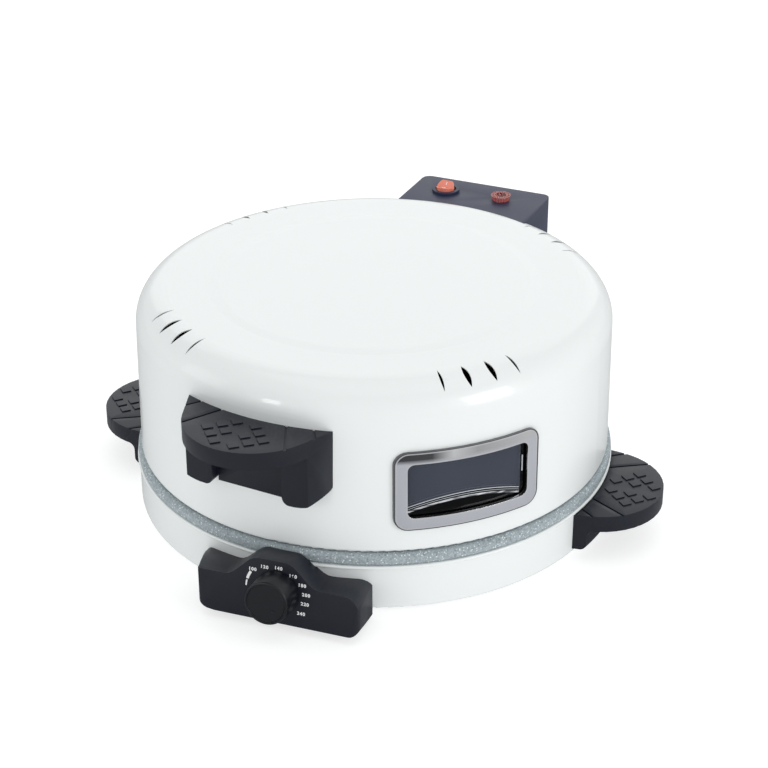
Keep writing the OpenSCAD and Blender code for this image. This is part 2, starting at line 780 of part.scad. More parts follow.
module baking_plate() color([0.55, 0.6, 0.62]) rotate_extrude($fn = fine) {
    polygon([[0, plate_under_z], [plate_inner_r - plate_edge, plate_under_z],
        [plate_inner_r, plate_under_z + plate_edge], [plate_inner_r, rim_z], [rim_inner_r, rim_z],
        [rim_inner_r, rim_z + rim_h], [rim_inner_r - plate_edge, rim_z + rim_h],
        [plate_inner_r - 1, plate_floor_z], [0, plate_floor_z]]);
    translate([rim_inner_r, rim_z]) square([plate_r - rim_round - rim_inner_r, rim_h]);
    translate([plate_r - rim_round, rim_z + rim_foot_round])
        square([rim_round, rim_h - rim_round - rim_foot_round]);
    translate([plate_r - rim_round, rim_z + rim_h - rim_round]) quarter(rim_round);
    translate([plate_r - rim_round, rim_z]) square([rim_round - rim_foot_round, rim_foot_round]);
    translate([plate_r - rim_foot_round, rim_z + rim_foot_round]) mirror([0, 1]) quarter(rim_foot_round);
}

module lower_reflector() color("lightgray") translate([0, 0, reflector_z]) difference() {
    union() {
        cylinder(r = reflector_r, h = reflector_t, $fn = fine);
        rotate_extrude($fn = fine) translate([reflector_r - reflector_t, 0])
            square([reflector_t, plate_under_z - reflector_z - 3]);
    }
    leg_places() translate([0, reflector_r, lower_element_z - reflector_z]) rotate([90, 0, 0])
        cylinder(r = element_r + 1, h = leg_hole_l, center = true);
    spacer_places() screw_bore();
}

module spacer_places() for (turn = [0:90:270]) rotate(turn + 10) translate([0, spacer_place, 0]) children();

module reflector_spacers() color("silver") spacer_places() {
    bottom = base_z + base_t + bottom_t;
    translate([0, 0, bottom]) cylinder(r = spacer_r, h = reflector_z - bottom, $fn = 32);
    translate([0, 0, reflector_z - eps]) cylinder(r = screw_r - 0.1, h = reflector_t + 1.2, $fn = 24);
}

// ---------------------------------------------------------------- control panel

// Points along a soft step from one height to another
function s_curve(from_x, to_x, from_h, to_h, steps = 8) = [for (i = [0:steps])
    let (t = i / steps) [from_x + (to_x - from_x) * t, from_h + (to_h - from_h) * (1 - cos(180 * t)) / 2]];

// The outline of the panel's face, drawn in on every side by inset
function panel_face(inset) = let (
    left = panel_left - inset, right = max(panel_right, panel_half_w) - inset,
    shoulder = shoulder_h - inset, hump = hump_h - inset,
    foot = hump_foot - inset, crown = hump_half_w - inset / 2,
    low = [for (r = panel_low_r) r - inset], high = [for (r = panel_high_r) r - inset])
    concat(
        arc(-left + low[0], inset + low[0], low[0], 180, 270),
        arc(right - low[1], inset + low[1], low[1], 270, 360),
        arc(right - high[1], shoulder - high[1], high[1], 0, 90),
        s_curve(hump_shift + foot, hump_shift + crown, shoulder, hump),
        s_curve(hump_shift - crown, hump_shift - foot, hump, shoulder),
        arc(-left + high[0], shoulder - high[0], high[0], 90, 180));

// Puts children in the middle of the panel's foot, turned as the panel is
module at_panel() at(panel_turn) translate([panel_shift, 0, 0]) children();

// Puts children on the panel's face: x across, y up the face, z out of it
module on_face() at_panel() translate([0, -panel_reach, base_z]) rotate([90 - panel_lean, 0, 0]) children();

// The plan of the panel, drawn in by inset: its front corners are round and its sides run to the wall
module panel_plan(inset = 0) let (
    half = panel_half_w - inset, front = inset - panel_reach, corner = panel_end - inset,
    left = panel_left - inset, right = panel_right - inset)
    at_panel() linear_extrude(rim_z * 2) polygon(concat(
        [[right, -base_r / 2], [-left, -base_r / 2], [-left, -chord(base_r, panel_left)]],
        arc(-half + corner, front + corner, corner, 180, 270),
        arc(half - corner, front + corner, corner, 270, 360),
        [[right, -chord(base_r, panel_right)]]));

module control_panel() color([0.16, 0.17, 0.2]) difference() {
    intersection() {
        on_face() translate([0, 0, -panel_depth]) linear_extrude(panel_depth) polygon(panel_face(0));
        panel_plan();
    }
    // The hollow behind the face
    intersection() {
        on_face() translate([0, 0, -panel_depth - 10])
            linear_extrude(panel_depth + 10 - panel_t) polygon(panel_face(panel_t));
        panel_plan(panel_t);
    }
    on_face() translate([0, knob_h, 0]) cylinder(r = bush_r + 0.2, h = 20, center = true);
    base_body();
    panel_screw_places() screw_bore();
}

module panel_screw_places() for (side = [-1, 1])
    let (x = panel_shift + side * (panel_half_w - panel_screw_in))
        at(panel_turn) translate([x, -chord(base_r, x), base_z + 16]) rotate([-90, 0, 0]) children();

module panel_screws() color("gray") panel_screw_places()
    translate([0, 0, base_t + 1.6]) screw(screw_bite + 1);

module thermostat() color("tan") on_face() translate([0, knob_h, -panel_t]) difference() {
    union() {
        translate([0, 0, -thermostat_size[2] / 2]) cube(thermostat_size, center = true);
        cylinder(r = bush_r, h = bush_l);
    }
    translate([0, 0, -thermostat_size[2] / 2 - 2]) cylinder(r = spindle_r + run_gap, h = 60);
}

module thermostat_spindle() color("silver") on_face() translate([0, knob_h, 0]) difference() {
    translate([0, 0, -panel_t - thermostat_size[2] / 2])
        cylinder(r = spindle_r, h = knob_l + thermostat_size[2] / 2);
    translate([spindle_r * 0.6, -5, bush_l]) cube([10, 10, 40]);
}

module knob() color([0.14, 0.15, 0.17]) on_face() translate([0, knob_h, knob_gap]) difference() {
    union() {
        cylinder(r1 = knob_r, r2 = knob_top_r, h = knob_l - knob_bevel);
        translate([0, 0, knob_l - knob_bevel - eps])
            cylinder(r1 = knob_top_r, r2 = knob_end_r, h = knob_bevel);
    }
    // Hollow round the hub
    translate([0, 0, -1]) difference() {
        cylinder(r = knob_r - 2.5, h = knob_l - 2);
        cylinder(r = spindle_r + 3, h = knob_l);
    }
    translate([0, 0, -1]) cylinder(r = bush_r + 0.6, h = bush_l + 1);
    // Bore for the flatted spindle
    difference() {
        translate([0, 0, -1]) cylinder(r = spindle_r, h = knob_l - panel_t + 1 - knob_gap);
        translate([spindle_r * 0.6, -5, bush_l - knob_gap]) cube([10, 10, 40]);
    }
    rotate(pointer_angle) translate([0, knob_top_r - 5, knob_l - 0.8]) cylinder(r = 1, h = 2, $fn = 24);
}

// ---------------------------------------------------------------- hinge

bracket_out = 8;

module hinge_axis() translate([box_x, pin_reach, pin_z]) rotate([0, 90, 0]) children();

// Cast bracket on the base: its two ears hold the pin
module base_hinge_bracket() color("gray") difference() {
    union() {
        difference() {
            translate([box_x - ear_x - ear_w / 2, base_r - 40, bracket_z])
                cube([2 * ear_x + ear_w, 40 + bracket_out, bracket_h]);
            cylinder(r = base_r, h = 3 * rim_z, center = true, $fn = fine);
        }
        for (side = [-1, 1]) translate([box_x + side * ear_x - ear_w / 2, 0, 0]) {
            rotate([90, 0, 90]) linear_extrude(ear_w) polygon([
                [ear_in, bracket_z + 3], [base_r + bracket_out, bracket_z + 3],
                [pin_reach + knuckle_r, pin_z], [pin_reach - knuckle_r, pin_z],
                [ear_in, pin_z - knuckle_r]]);
            translate([0, pin_reach, pin_z]) rotate([0, 90, 0]) cylinder(r = knuckle_r, h = ear_w);
        }
    }
    hinge_axis() cylinder(r = pin_r, h = 2 * pin_half_l + 2, center = true);
    bracket_screw_places() screw_bore();
}

module bracket_screw_places() for (side = [-1, 1]) let (x = box_x + side * knuckle_span / 2)
    translate([x, chord(base_r, x), base_z + 20]) rotate([90, 0, 0]) children();

module bracket_screws() color("gray") bracket_screw_places()
    translate([0, 0, base_t + 1.6]) screw(screw_bite);

module hinge_pin() color("silver") hinge_axis() {
    cylinder(r = pin_r, h = 2 * pin_half_l, center = true);
    translate([0, 0, -pin_half_l]) cylinder(r = pin_r + 1.5, h = 1.5);
}

// Cast block inside the rear box: it is screwed to the lid and carries two knuckles
module lid_hinge_block() color("gray") difference() {
    union() {
        difference() {
            translate([box_x - block_half_w, lid_r - 30, block_z])
                cube([2 * block_half_w, pin_reach - lid_r + 30, block_h]);
            lid_body();
        }
        for (side = [-1, 1]) translate([box_x + side * knuckle_span / 2 - knuckle_w / 2, pin_reach, pin_z]) {
            rotate([0, 90, 0]) cylinder(r = knuckle_r, h = knuckle_w);
            translate([0, -knuckle_r, 0]) cube([knuckle_w, 2 * knuckle_r, block_z - pin_z + 12]);
        }
    }
    lid_body();
    hinge_axis() cylinder(r = pin_r + run_gap, h = 2 * pin_half_l, center = true);
    hinge_block_screw_places() screw_bore();
}

module hinge_block_screw_places() for (side = [-1, 1], z = [10, 34]) let (x = box_x + side * 20)
    translate([x, chord(wall_r(block_z + z - lid_z), x), block_z + z]) rotate([90, 0, 0]) children();

module hinge_block_screws() color("gray") hinge_block_screw_places()
    translate([0, 0, lid_t + 1.8]) screw(screw_bite + 1);

// ---------------------------------------------------------------- rear box

module box_plan(inset) translate([box_x, 0]) polygon(concat(
    [[-box_w / 2 + inset, lid_r - 62], [box_w / 2 - inset, lid_r - 62]],
    arc(box_w / 2 - box_round, box_reach - box_round, box_round - inset, 0, 90),
    arc(-box_w / 2 + box_round, box_reach - box_round, box_round - inset, 90, 180)));

module rear_box() color([0.28, 0.29, 0.36]) difference() {
    translate([0, 0, box_bottom]) linear_extrude(box_top - box_bottom) box_plan(0);
    translate([0, 0, box_bottom + box_t]) linear_extrude(box_top - box_bottom - 2 * box_t) box_plan(box_t);
    lid_body();
    // Opening that the rear cover closes
    translate([box_x, 0, (box_top + box_bottom) / 2]) rotate([-90, 0, 0]) linear_extrude(2 * box_reach)
        polygon(rounded(box_w - 2 * box_round - 2 * cover_edge, box_top - box_bottom - 2 * cover_edge, 3));
    // Slots for the hinge knuckles
    for (side = [-1, 1]) translate([box_x + side * knuckle_span / 2, pin_reach, box_bottom])
        cube([knuckle_w + 2, 2 * knuckle_r + 2, 3 * box_t], center = true);
    switch_place() cylinder(r = bezel_r - housing_wall + 0.1, h = 20, center = true);
    lamp_place() cylinder(r = lens_r - 2, h = 20, center = true);
    cover_screw_places() screw_bore();
}

cover_w = box_w - 2 * box_round - 2;
cover_h = box_top - box_bottom - 8;
cover_screw_x = cover_w / 2 - 6;

module cover_screw_places() for (side = [-1, 1], high = [-1, 1])
    translate([box_x + side * cover_screw_x, box_reach + cover_t, 0])
        translate([0, 0, (box_top + box_bottom) / 2 + high * (cover_h / 2 - 4)])
            rotate([-90, 0, 0]) children();

module rear_cover() color([0.26, 0.27, 0.33]) difference() {
    translate([box_x, box_reach, (box_top + box_bottom) / 2]) rotate([-90, 0, 0]) linear_extrude(cover_t)
        polygon(rounded(cover_w, cover_h, 6));
    cover_screw_places() screw_hole();
    // Louvres
    for (row = [-2:2]) translate([box_x, box_reach, (box_top + box_bottom) / 2 + 8 * row])
        rotate([-90, 0, 0]) linear_extrude(20, center = true) rotate(90) polygon(slot_outline(3, 50));
}

module rear_cover_screws() color("gray") cover_screw_places() screw(cover_t + 2);

module switch_place() translate([switch_at[0] + box_x, switch_at[1] + box_reach, box_top]) children();

// Round rocker switch: a bezel over the box's top and a body below it
module switch_housing() color([0.14, 0.15, 0.2]) switch_place() difference() {
    union() {
        cylinder(r = bezel_r, h = bezel_h);
        translate([0, 0, -housing_l]) cylinder(r = bezel_r - housing_wall, h = housing_l + eps);
    }
    translate([0, 0, -9]) cylinder(r = rocker_r + rocker_gap, h = 30);
    rocker_axle()
        cylinder(r = axle_r + axle_gap, h = 2 * (rocker_r + rocker_gap) + 1.6, center = true, $fn = 24);
}

rocker_axle_z = -2;

module rocker_axle() translate([0, 0, rocker_axle_z]) rotate([0, 90, 0]) children();

// The rocker lies tipped towards the front, in its off position. Its two faces meet in a shallow valley
module switch_rocker() color([0.9, 0.35, 0.22]) switch_place() {
    translate([0, 0, rocker_axle_z]) rotate([rocker_throw / 2, 0, 0]) intersection() {
        cylinder(r = rocker_r - 1, h = rocker_h + 3);
        rotate([90, 0, 90]) linear_extrude(2 * rocker_r, center = true) polygon([
            [-rocker_r + 1.1, 1], [0, 0], [rocker_r - 1.1, 1],
            [rocker_r - 2.7, rocker_h], [0, rocker_h - 3.4], [-rocker_r + 2.7, rocker_h]]);
    }
    rocker_axle() cylinder(r = axle_r, h = 2 * (rocker_r + rocker_gap) + 0.8, center = true, $fn = 24);
}

module lamp_place() translate([lamp_at[0] + box_x, lamp_at[1] + box_reach, box_top]) children();

module pilot_holder() color([0.14, 0.15, 0.2]) lamp_place() {
    translate([0, 0, -18]) cylinder(r = lens_r - 2.1, h = 18);
    translate([0, 0, -box_t - 3]) cylinder(r = lens_r, h = 3, $fn = 6);
}

module pilot_lens() color([0.75, 0.1, 0.08]) lamp_place() difference() {
    cylinder(r = lens_r, h = lens_h);
    for (turn = [0:20:340]) rotate(turn) translate([lens_r + 0.35, 0, -1])
        cylinder(r = 0.9, h = lens_h + 2, $fn = 16);
}

// Ceramic ends of the upper element, where its wires are fixed
module box_terminals() color("ivory") leg_places()
    translate([0, lid_r + 2, upper_element_z]) rotate([-90, 0, 0]) difference() {
        cylinder(r = element_r + 2.5, h = 10);
        cylinder(r = element_r, h = 30, center = true);
    }

// ---------------------------------------------------------------- wiring inlet

module terminal_block() color("ivory") translate([0, terminal_y, lower_element_z]) difference() {
    translate([-terminal_size[0] / 2, 0, -terminal_size[2] / 2]) cube(terminal_size);
    for (side = [-1, 1]) translate([side * terminal_pitch / 2, terminal_size[1] / 2, 0])
        cylinder(r = screw_r, h = terminal_size[2], $fn = 24);
}

bush_turn = 202;
bush_hole_r = cord_r + 3;

module bush_place() at(bush_turn) translate([0, -base_r, base_z + 20]) rotate([90, 0, 0]) children();

module cord_bush() color([0.12, 0.12, 0.13]) bush_place() difference() {
    union() {
        translate([0, 0, -8]) cylinder(r = bush_hole_r - 0.1, h = 9);
        cylinder(r = cord_r + 5, h = 4);
        translate([0, 0, 4 - eps]) cylinder(r1 = cord_r + 3.5, r2 = cord_r + 2, h = 8);
    }
    cylinder(r = cord_r, h = 60, center = true);
}

// ---------------------------------------------------------------- nodes

// Puts a finished piece where the origin is in the middle of the footprint
module placed() translate([0, centre_y, 0]) children();

placed() base_shell();
placed() bottom_plate();
placed() feet();
placed() foot_screws();
placed() baking_plate();
placed() lower_reflector();
placed() reflector_spacers();
placed() lower_element();
placed() lower_clips();
placed() side_grip_right();
placed() side_grip_left();
placed() grip_screws();
placed() control_panel();
placed() panel_screws();
placed() thermostat();
placed() thermostat_spindle();
placed() knob();
placed() base_hinge_bracket();
placed() bracket_screws();
placed() hinge_pin();
placed() terminal_block();
placed() cord_bush();
placed() lid_shell();
placed() lid_liner();
placed() upper_element();
placed() upper_clips();
placed() window_frame();
placed() window_gasket();
placed() window_glass();
placed() window_retainer();
placed() lid_handle();
placed() handle_screws();
placed() lid_hinge_block();
placed() hinge_block_screws();
placed() rear_box();
placed() rear_cover();
placed() rear_cover_screws();
placed() switch_housing();
placed() switch_rocker();
placed() pilot_holder();
placed() pilot_lens();
placed() box_terminals();
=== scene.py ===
"""Finishes and fine shapes of a round electric pizza maker, dressed over its packed construction."""
import json
import math

import bpy
from bpy.props import FloatProperty, FloatVectorProperty, IntProperty, PointerProperty
from bpy.types import Operator, Panel, PropertyGroup
from mathutils import Matrix, Vector


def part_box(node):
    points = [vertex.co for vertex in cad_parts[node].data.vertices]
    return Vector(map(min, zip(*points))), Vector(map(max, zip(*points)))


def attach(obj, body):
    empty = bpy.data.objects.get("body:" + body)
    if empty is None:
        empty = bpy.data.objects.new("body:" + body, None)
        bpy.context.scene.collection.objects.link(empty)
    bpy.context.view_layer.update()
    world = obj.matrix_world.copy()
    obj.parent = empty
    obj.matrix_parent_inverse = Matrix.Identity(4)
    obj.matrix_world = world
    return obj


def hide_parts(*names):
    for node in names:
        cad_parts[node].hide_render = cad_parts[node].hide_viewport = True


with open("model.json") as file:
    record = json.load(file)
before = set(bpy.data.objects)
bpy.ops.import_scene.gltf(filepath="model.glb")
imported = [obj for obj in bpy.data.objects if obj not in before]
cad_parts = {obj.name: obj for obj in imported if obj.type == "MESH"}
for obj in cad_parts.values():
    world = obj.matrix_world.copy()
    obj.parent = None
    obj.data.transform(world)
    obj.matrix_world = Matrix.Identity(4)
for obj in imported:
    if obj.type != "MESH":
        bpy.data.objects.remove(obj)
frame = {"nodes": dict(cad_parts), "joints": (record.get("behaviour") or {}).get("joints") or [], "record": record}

bl_info = {
    "name": "Pizza Maker Finishes",
    "version": (1, 0, 0),
    "blender": (4, 5, 0),
    "location": "View3D > Sidebar > Pizza Maker",
    "description": "Gives a countertop pizza maker its finishes, rounded edges, dial, switch and lamp",
    "category": "Object",
}

NODES = frame["nodes"]
JOINTS = {joint["name"]: joint for joint in frame["joints"]}
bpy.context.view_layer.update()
MM = 0.001
# Places that lie closer than this are taken as the same
TOUCH = 1e-6
# Keeps the finishes' names apart from those of the frame's own materials
FINISH_ENDING = "_finish"


def middle(node):
    """The middle of a node's box."""
    low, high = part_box(node)
    return (low + high) / 2


BODY_AXIS = Vector((middle("baking_plate").x, middle("baking_plate").y, 0))
LID_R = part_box("lid_shell")[1].x
# The lid's liner: its radius outside, its sheet, its height and the round at its top
LINER_R = 0.2001
LINER_T = 0.0007
LINER_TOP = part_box("lid_liner")[1].z
LINER_ROUND = 0.022
# The window's turn about the body's axis and its height, then its frame's outline and the frame's opening,
# each as half its width, half its height and its corner radius
WINDOW_TURN = math.radians(45.9)
WINDOW_Z = middle("window_frame").z
FRAME_HALF = (0.0646, 0.0361, 0.012)
OPENING_HALF = (0.0535, 0.025, 0.006)


# ---------------------------------------------------------------- shader maths

class Wire:
    """A value or colour in a material. Python's operators on a value add its Math nodes."""

    def __init__(self, paint, socket):
        self.paint = paint
        self.socket = socket

    def maths(self, operation, *values):
        return self.paint.node("Math", {"operation": operation}, *values)

    def __add__(self, other):
        return self.maths("ADD", self, other)

    def __radd__(self, other):
        return self.maths("ADD", other, self)

    def __sub__(self, other):
        return self.maths("SUBTRACT", self, other)

    def __rsub__(self, other):
        return self.maths("SUBTRACT", other, self)

    def __mul__(self, other):
        return self.maths("MULTIPLY", self, other)

    def __rmul__(self, other):
        return self.maths("MULTIPLY", other, self)

    def __truediv__(self, other):
        return self.maths("DIVIDE", self, other)

    def __gt__(self, other):
        return self.maths("GREATER_THAN", self, other)

    def __lt__(self, other):
        return self.maths("LESS_THAN", self, other)

    def __pow__(self, other):
        return self.maths("POWER", self, other)

    def __abs__(self):
        return self.maths("ABSOLUTE", self)

    def at_least(self, other):
        return self.maths("MAXIMUM", self, other)

    def at_most(self, other):
        return self.maths("MINIMUM", self, other)

    def near(self, value, reach):
        """1 where this lies within reach of a value."""
        return abs(self - value) < reach


class Paint:
    """A material in the making: its nodes, its coordinates and its surface."""

    def __init__(self, name):
        self.material = bpy.data.materials.new(name + FINISH_ENDING)
        self.material.use_nodes = True
        self.tree = self.material.node_tree
        self.tree.nodes.clear()
        self.place = self.node("TexCoord", output="Object")

    def node(self, kind, settings=None, *values, output=0, **named):
        """Adds a node: its settings first, then the values or links of its sockets."""
        made = self.tree.nodes.new("ShaderNode" + kind)
        for key, value in (settings or {}).items():
            if key == "stops":
                self.set_stops(made.color_ramp, value)
            else:
                setattr(made, key, value)
        for key, value in list(enumerate(values)) + list(named.items()):
            socket = made.inputs[key] if isinstance(key, int) else made.inputs[key.replace("_", " ")]
            if isinstance(value, Wire):
                self.tree.links.new(value.socket, socket)
            elif value is not None:
                socket.default_value = value
        return Wire(self, made.outputs[output])

    @staticmethod
    def set_stops(ramp, stops):
        while len(ramp.elements) < len(stops):
            ramp.elements.new(0.5)
        for element, (position, level) in zip(ramp.elements, stops):
            element.position = position
            element.color = (level, level, level, 1)

    def noise(self, size, detail=2.0, place=None):
        """Cloudy noise whose features are about size metres wide."""
        return self.node("TexNoise", None, Vector=place or self.place, Scale=1 / size, Detail=detail)

    def cells(self, size, output):
        """Cells about size metres wide: output is Distance or Color."""
        return self.node("TexVoronoi", None, Vector=self.place, Scale=1 / size, output=output)

    def stretched(self, scale):
        """The coordinates with another scale along each axis, for grain that runs one way."""
        return self.node("Mapping", None, Vector=self.place, Scale=scale)

    def ramp(self, value, *stops):
        return self.node("ValToRGB", {"stops": stops}, value)

    def mix(self, factor, first, second):
        """One colour turning into another as factor goes from 0 to 1."""
        made = self.tree.nodes.new("ShaderNodeMix")
        made.data_type = "RGBA"
        for socket, value in ((made.inputs[0], factor), (made.inputs[6], first), (made.inputs[7], second)):
            if isinstance(value, Wire):
                self.tree.links.new(value.socket, socket)
            elif isinstance(value, (int, float)):
                socket.default_value = value
            else:
                socket.default_value = (*value, 1)
        return Wire(self, made.outputs[2])

    def bump(self, height, depth, strength=1.0):
        """A Normal from a height between 0 and 1 that stands for depth metres."""
        return self.node("Bump", None, Height=height, Distance=depth, Strength=strength)

    def axes(self):
        """The coordinates, one by one."""
        split = self.tree.nodes.new("ShaderNodeSeparateXYZ")
        self.tree.links.new(self.place.socket, split.inputs[0])
        return [Wire(self, output) for output in split.outputs]

    def window_place(self):
        """Distances along and up the lid's wall from the middle of the window."""
        x, y, z = self.axes()
        turn = self.node("Math", {"operation": "ARCTAN2"}, x - BODY_AXIS.x, BODY_AXIS.y - y)
        return (turn - WINDOW_TURN) * LID_R, z - WINDOW_Z

    @staticmethod
    def outside(across, up, half_w, half_h, corner):
        """Distance outside a rounded rectangle, negative within it."""
        over_x, over_y = abs(across) - (half_w - corner), abs(up) - (half_h - corner)
        beyond = (over_x.at_least(0) ** 2 + over_y.at_least(0) ** 2) ** 0.5
        return beyond + over_x.at_least(over_y).at_most(0) - corner

    def unmirrored(self):
        """0 for reflections and 1 for every other ray."""
        return 1 - self.node("LightPath", output="Is Glossy Ray")

    def surface(self, **inputs):
        """The Principled surface that ends the material."""
        shader = self.tree.nodes.new("ShaderNodeBsdfPrincipled")
        for key, value in inputs.items():
            socket = shader.inputs[key.replace("_", " ")]
            if isinstance(value, Wire):
                self.tree.links.new(value.socket, socket)
            elif socket.type == "RGBA":
                socket.default_value = (*value, 1)
            else:
                socket.default_value = value
        self.finish(shader.outputs[0])
        return self.material

    def finish(self, socket):
        end = self.tree.nodes.new("ShaderNodeOutputMaterial")
        self.tree.links.new(socket, end.inputs[0])


# ---------------------------------------------------------------- finishes

def white_enamel():
    """Glossy stove enamel with a faint cloudiness."""
    paint = Paint("white_enamel")
    cloud = paint.noise(0.11, 3)
    dust = paint.noise(0.02, 4)
    pale = Vector(finishes().enamel)
    return paint.surface(
        Base_Color=paint.mix(cloud, pale * 0.985, pale), Roughness=0.29 + dust * 0.1,
        Coat_Weight=0.5, Coat_Roughness=0.06, IOR=1.5)


def granite_coating():
    """Blue-grey non-stick coating with pale and dark stone flecks."""
    paint = Paint("granite_coating")
    fine = paint.noise(0.0016, 3)
    pale_cells = paint.cells(0.0017, "Color")
    pale_spot = paint.cells(0.0017, "Distance")
    dark_cells = paint.cells(0.0026, "Color")
    dark_spot = paint.cells(0.0026, "Distance")
    tone = Vector(finishes().granite)
    ground = paint.mix(paint.ramp(fine, (0.35, 0), (0.65, 1)), tone * 0.8, tone * 1.2)
    dark = (dark_cells > 0.62) * (dark_spot < 0.34)
    pale = (pale_cells > 0.66) * (pale_spot < 0.36)
    colour = paint.mix(dark * 0.45, ground, finishes().granite_dark)
    colour = paint.mix(pale * 0.75, colour, finishes().granite_pale)
    return paint.surface(
        Base_Color=colour, Roughness=0.6 + fine * 0.15, Normal=paint.bump(fine + pale, 0.00005),
        Specular_IOR_Level=0.2)


def moulded_plastic(name, colour, roughness, grain=0.0006, depth=0.000008):
    """Spark-eroded moulded plastic: a fine even grain and slightly worn, shinier patches."""
    paint = Paint(name)
    speck = paint.noise(grain, 2)
    patch = paint.noise(0.03, 3)
    tone = Vector(colour)
    return paint.surface(
        Base_Color=paint.mix(patch, tone * 0.88, tone * 1.12), Roughness=(roughness - 0.05) + patch * 0.1,
        Normal=paint.bump(speck, depth), Specular_IOR_Level=0.4)


def charcoal_plastic():
    return moulded_plastic("charcoal_plastic", finishes().charcoal, 0.4)


def slate_plastic():
    return moulded_plastic("slate_plastic", finishes().slate, 0.45)


def black_plastic():
    return moulded_plastic("black_plastic", finishes().black, 0.34, 0.0005, 0.000005)


# How far in from the frame's outline its painted shadow line and painted highlight reach, and how far out from its
# opening its painted lip highlight reaches
PAINTED_SHADOW_LINE = 0.0009
PAINTED_EDGE_HIGHLIGHT = 0.0019
PAINTED_LIP_HIGHLIGHT = 0.0011
# The painted reflection on the frame's upper band: half its width, the height of its foot, how far that fades,
# and its shades from left to right
REFLECTION_BAND_HALF = 0.065
REFLECTION_BAND_FOOT = 0.0248
REFLECTION_BAND_FADE = 0.005
REFLECTION_BAND_SHADES = ((0.05, 0.02), (0.24, 0.04), (0.38, 1), (0.54, 0.62), (0.9, 0.85))


def polished_steel():
    """Polished stainless sheet with its polishing lines. On the window's frame: a painted reflection on its upper
    band, painted highlights and a painted shadow line at its edges.
    """
    paint = Paint("polished_steel")
    across, up = paint.window_place()
    lines = paint.noise(0.0004, 3, paint.stretched((1, 1, 30)))
    smear = paint.noise(0.016, 3)
    sheet = paint.mix(lines, (0.82, 0.83, 0.91), (0.92, 0.92, 0.99))
    # Painted reflection: the frame's upper band goes from dark to bright to mid grey across its width
    painted_reflection = paint.ramp((across + REFLECTION_BAND_HALF) / (2 * REFLECTION_BAND_HALF), *REFLECTION_BAND_SHADES)
    painted_reflection_band = paint.ramp((up - REFLECTION_BAND_FOOT) / REFLECTION_BAND_FADE, (0.1, 0), (0.9, 1))
    sheet = paint.mix(painted_reflection_band * 0.9, sheet, painted_reflection)
    # Painted highlights just inside the frame's outline and round its opening's lip, then a painted shadow line
    # along the outline
    rim = paint.outside(across, up, *FRAME_HALF)
    lip = paint.outside(across, up, *OPENING_HALF)
    sheet = paint.mix((rim > -PAINTED_EDGE_HIGHLIGHT).at_least(lip < PAINTED_LIP_HIGHLIGHT) * 0.8, sheet, (0.98, 0.98, 1))
    sheet = paint.mix((rim > -PAINTED_SHADOW_LINE) * 0.85, sheet, (0.05, 0.052, 0.06))
    return paint.surface(
        Base_Color=sheet, Metallic=1.0, Roughness=0.14 + smear * 0.12, Normal=paint.bump(lines, 0.000006))


def bright_sheet():
    """Aluminised sheet: bright spangle with heat tint in places, and painted near black on the liner's outer side
    as shade behind the lid's vents.
    """
    paint = Paint("bright_sheet")
    spangle = paint.cells(0.004, "Color")
    tint = paint.ramp(paint.noise(0.07, 3), (0.45, 0), (0.7, 1))
    x, y, z = paint.axes()
    radius = ((x - BODY_AXIS.x) ** 2 + (y - BODY_AXIS.y) ** 2) ** 0.5
    # Painted shade: the liner's outer side is near black, for the dark closed space seen through the lid's vents
    painted_liner_shade = paint.outside(radius, z, LINER_R, LINER_TOP, LINER_ROUND) > -LINER_T / 2
    sheet = paint.mix(tint * 0.5, (0.60, 0.60, 0.60), (0.50, 0.43, 0.33))
    return paint.surface(
        Base_Color=paint.mix(painted_liner_shade, sheet, (0.02, 0.02, 0.022)), Metallic=1.0, Roughness=0.3 + spangle * 0.14,
        Normal=paint.bump(paint.noise(0.0012), 0.00002))


def zinc_sheet():
    """Dull zinc plating."""
    paint = Paint("zinc_sheet")
    spangle = paint.cells(0.003, "Color")
    return paint.surface(
        Base_Color=paint.mix(spangle, (0.42, 0.43, 0.45), (0.56, 0.57, 0.59)), Metallic=1.0,
        Roughness=0.38 + spangle * 0.1, Normal=paint.bump(paint.noise(0.0008), 0.00002))


def cast_alloy():
    """Tumbled die casting."""
    paint = Paint("cast_alloy")
    grain = paint.noise(0.0009, 4)
    return paint.surface(
        Base_Color=paint.mix(grain, (0.34, 0.35, 0.36), (0.5, 0.51, 0.52)), Metallic=1.0,
        Roughness=0.42 + grain * 0.12, Normal=paint.bump(grain, 0.00008))


def element_tube():
    """Oxidised heating tube."""
    paint = Paint("element_tube")
    scale = paint.noise(0.006, 4)
    return paint.surface(
        Base_Color=paint.mix(scale, (0.09, 0.085, 0.085), (0.2, 0.19, 0.18)), Metallic=0.7,
        Roughness=0.45 + scale * 0.2, Normal=paint.bump(scale, 0.00005))


def ceramic():
    """Cream glazed ceramic."""
    paint = Paint("ceramic")
    cloud = paint.noise(0.008, 3)
    return paint.surface(
        Base_Color=paint.mix(cloud, (0.66, 0.61, 0.5), (0.78, 0.73, 0.62)), Roughness=0.22 + cloud * 0.1,
        IOR=1.5)


def black_rubber():
    """Matt rubber with a powdery bloom."""
    paint = Paint("black_rubber")
    bloom = paint.noise(0.004, 4)
    return paint.surface(
        Base_Color=paint.mix(bloom, (0.018, 0.018, 0.02), (0.045, 0.045, 0.048)),
        Roughness=0.7 + bloom * 0.15,
        Normal=paint.bump(paint.noise(0.0006), 0.00006), IOR=1.5)


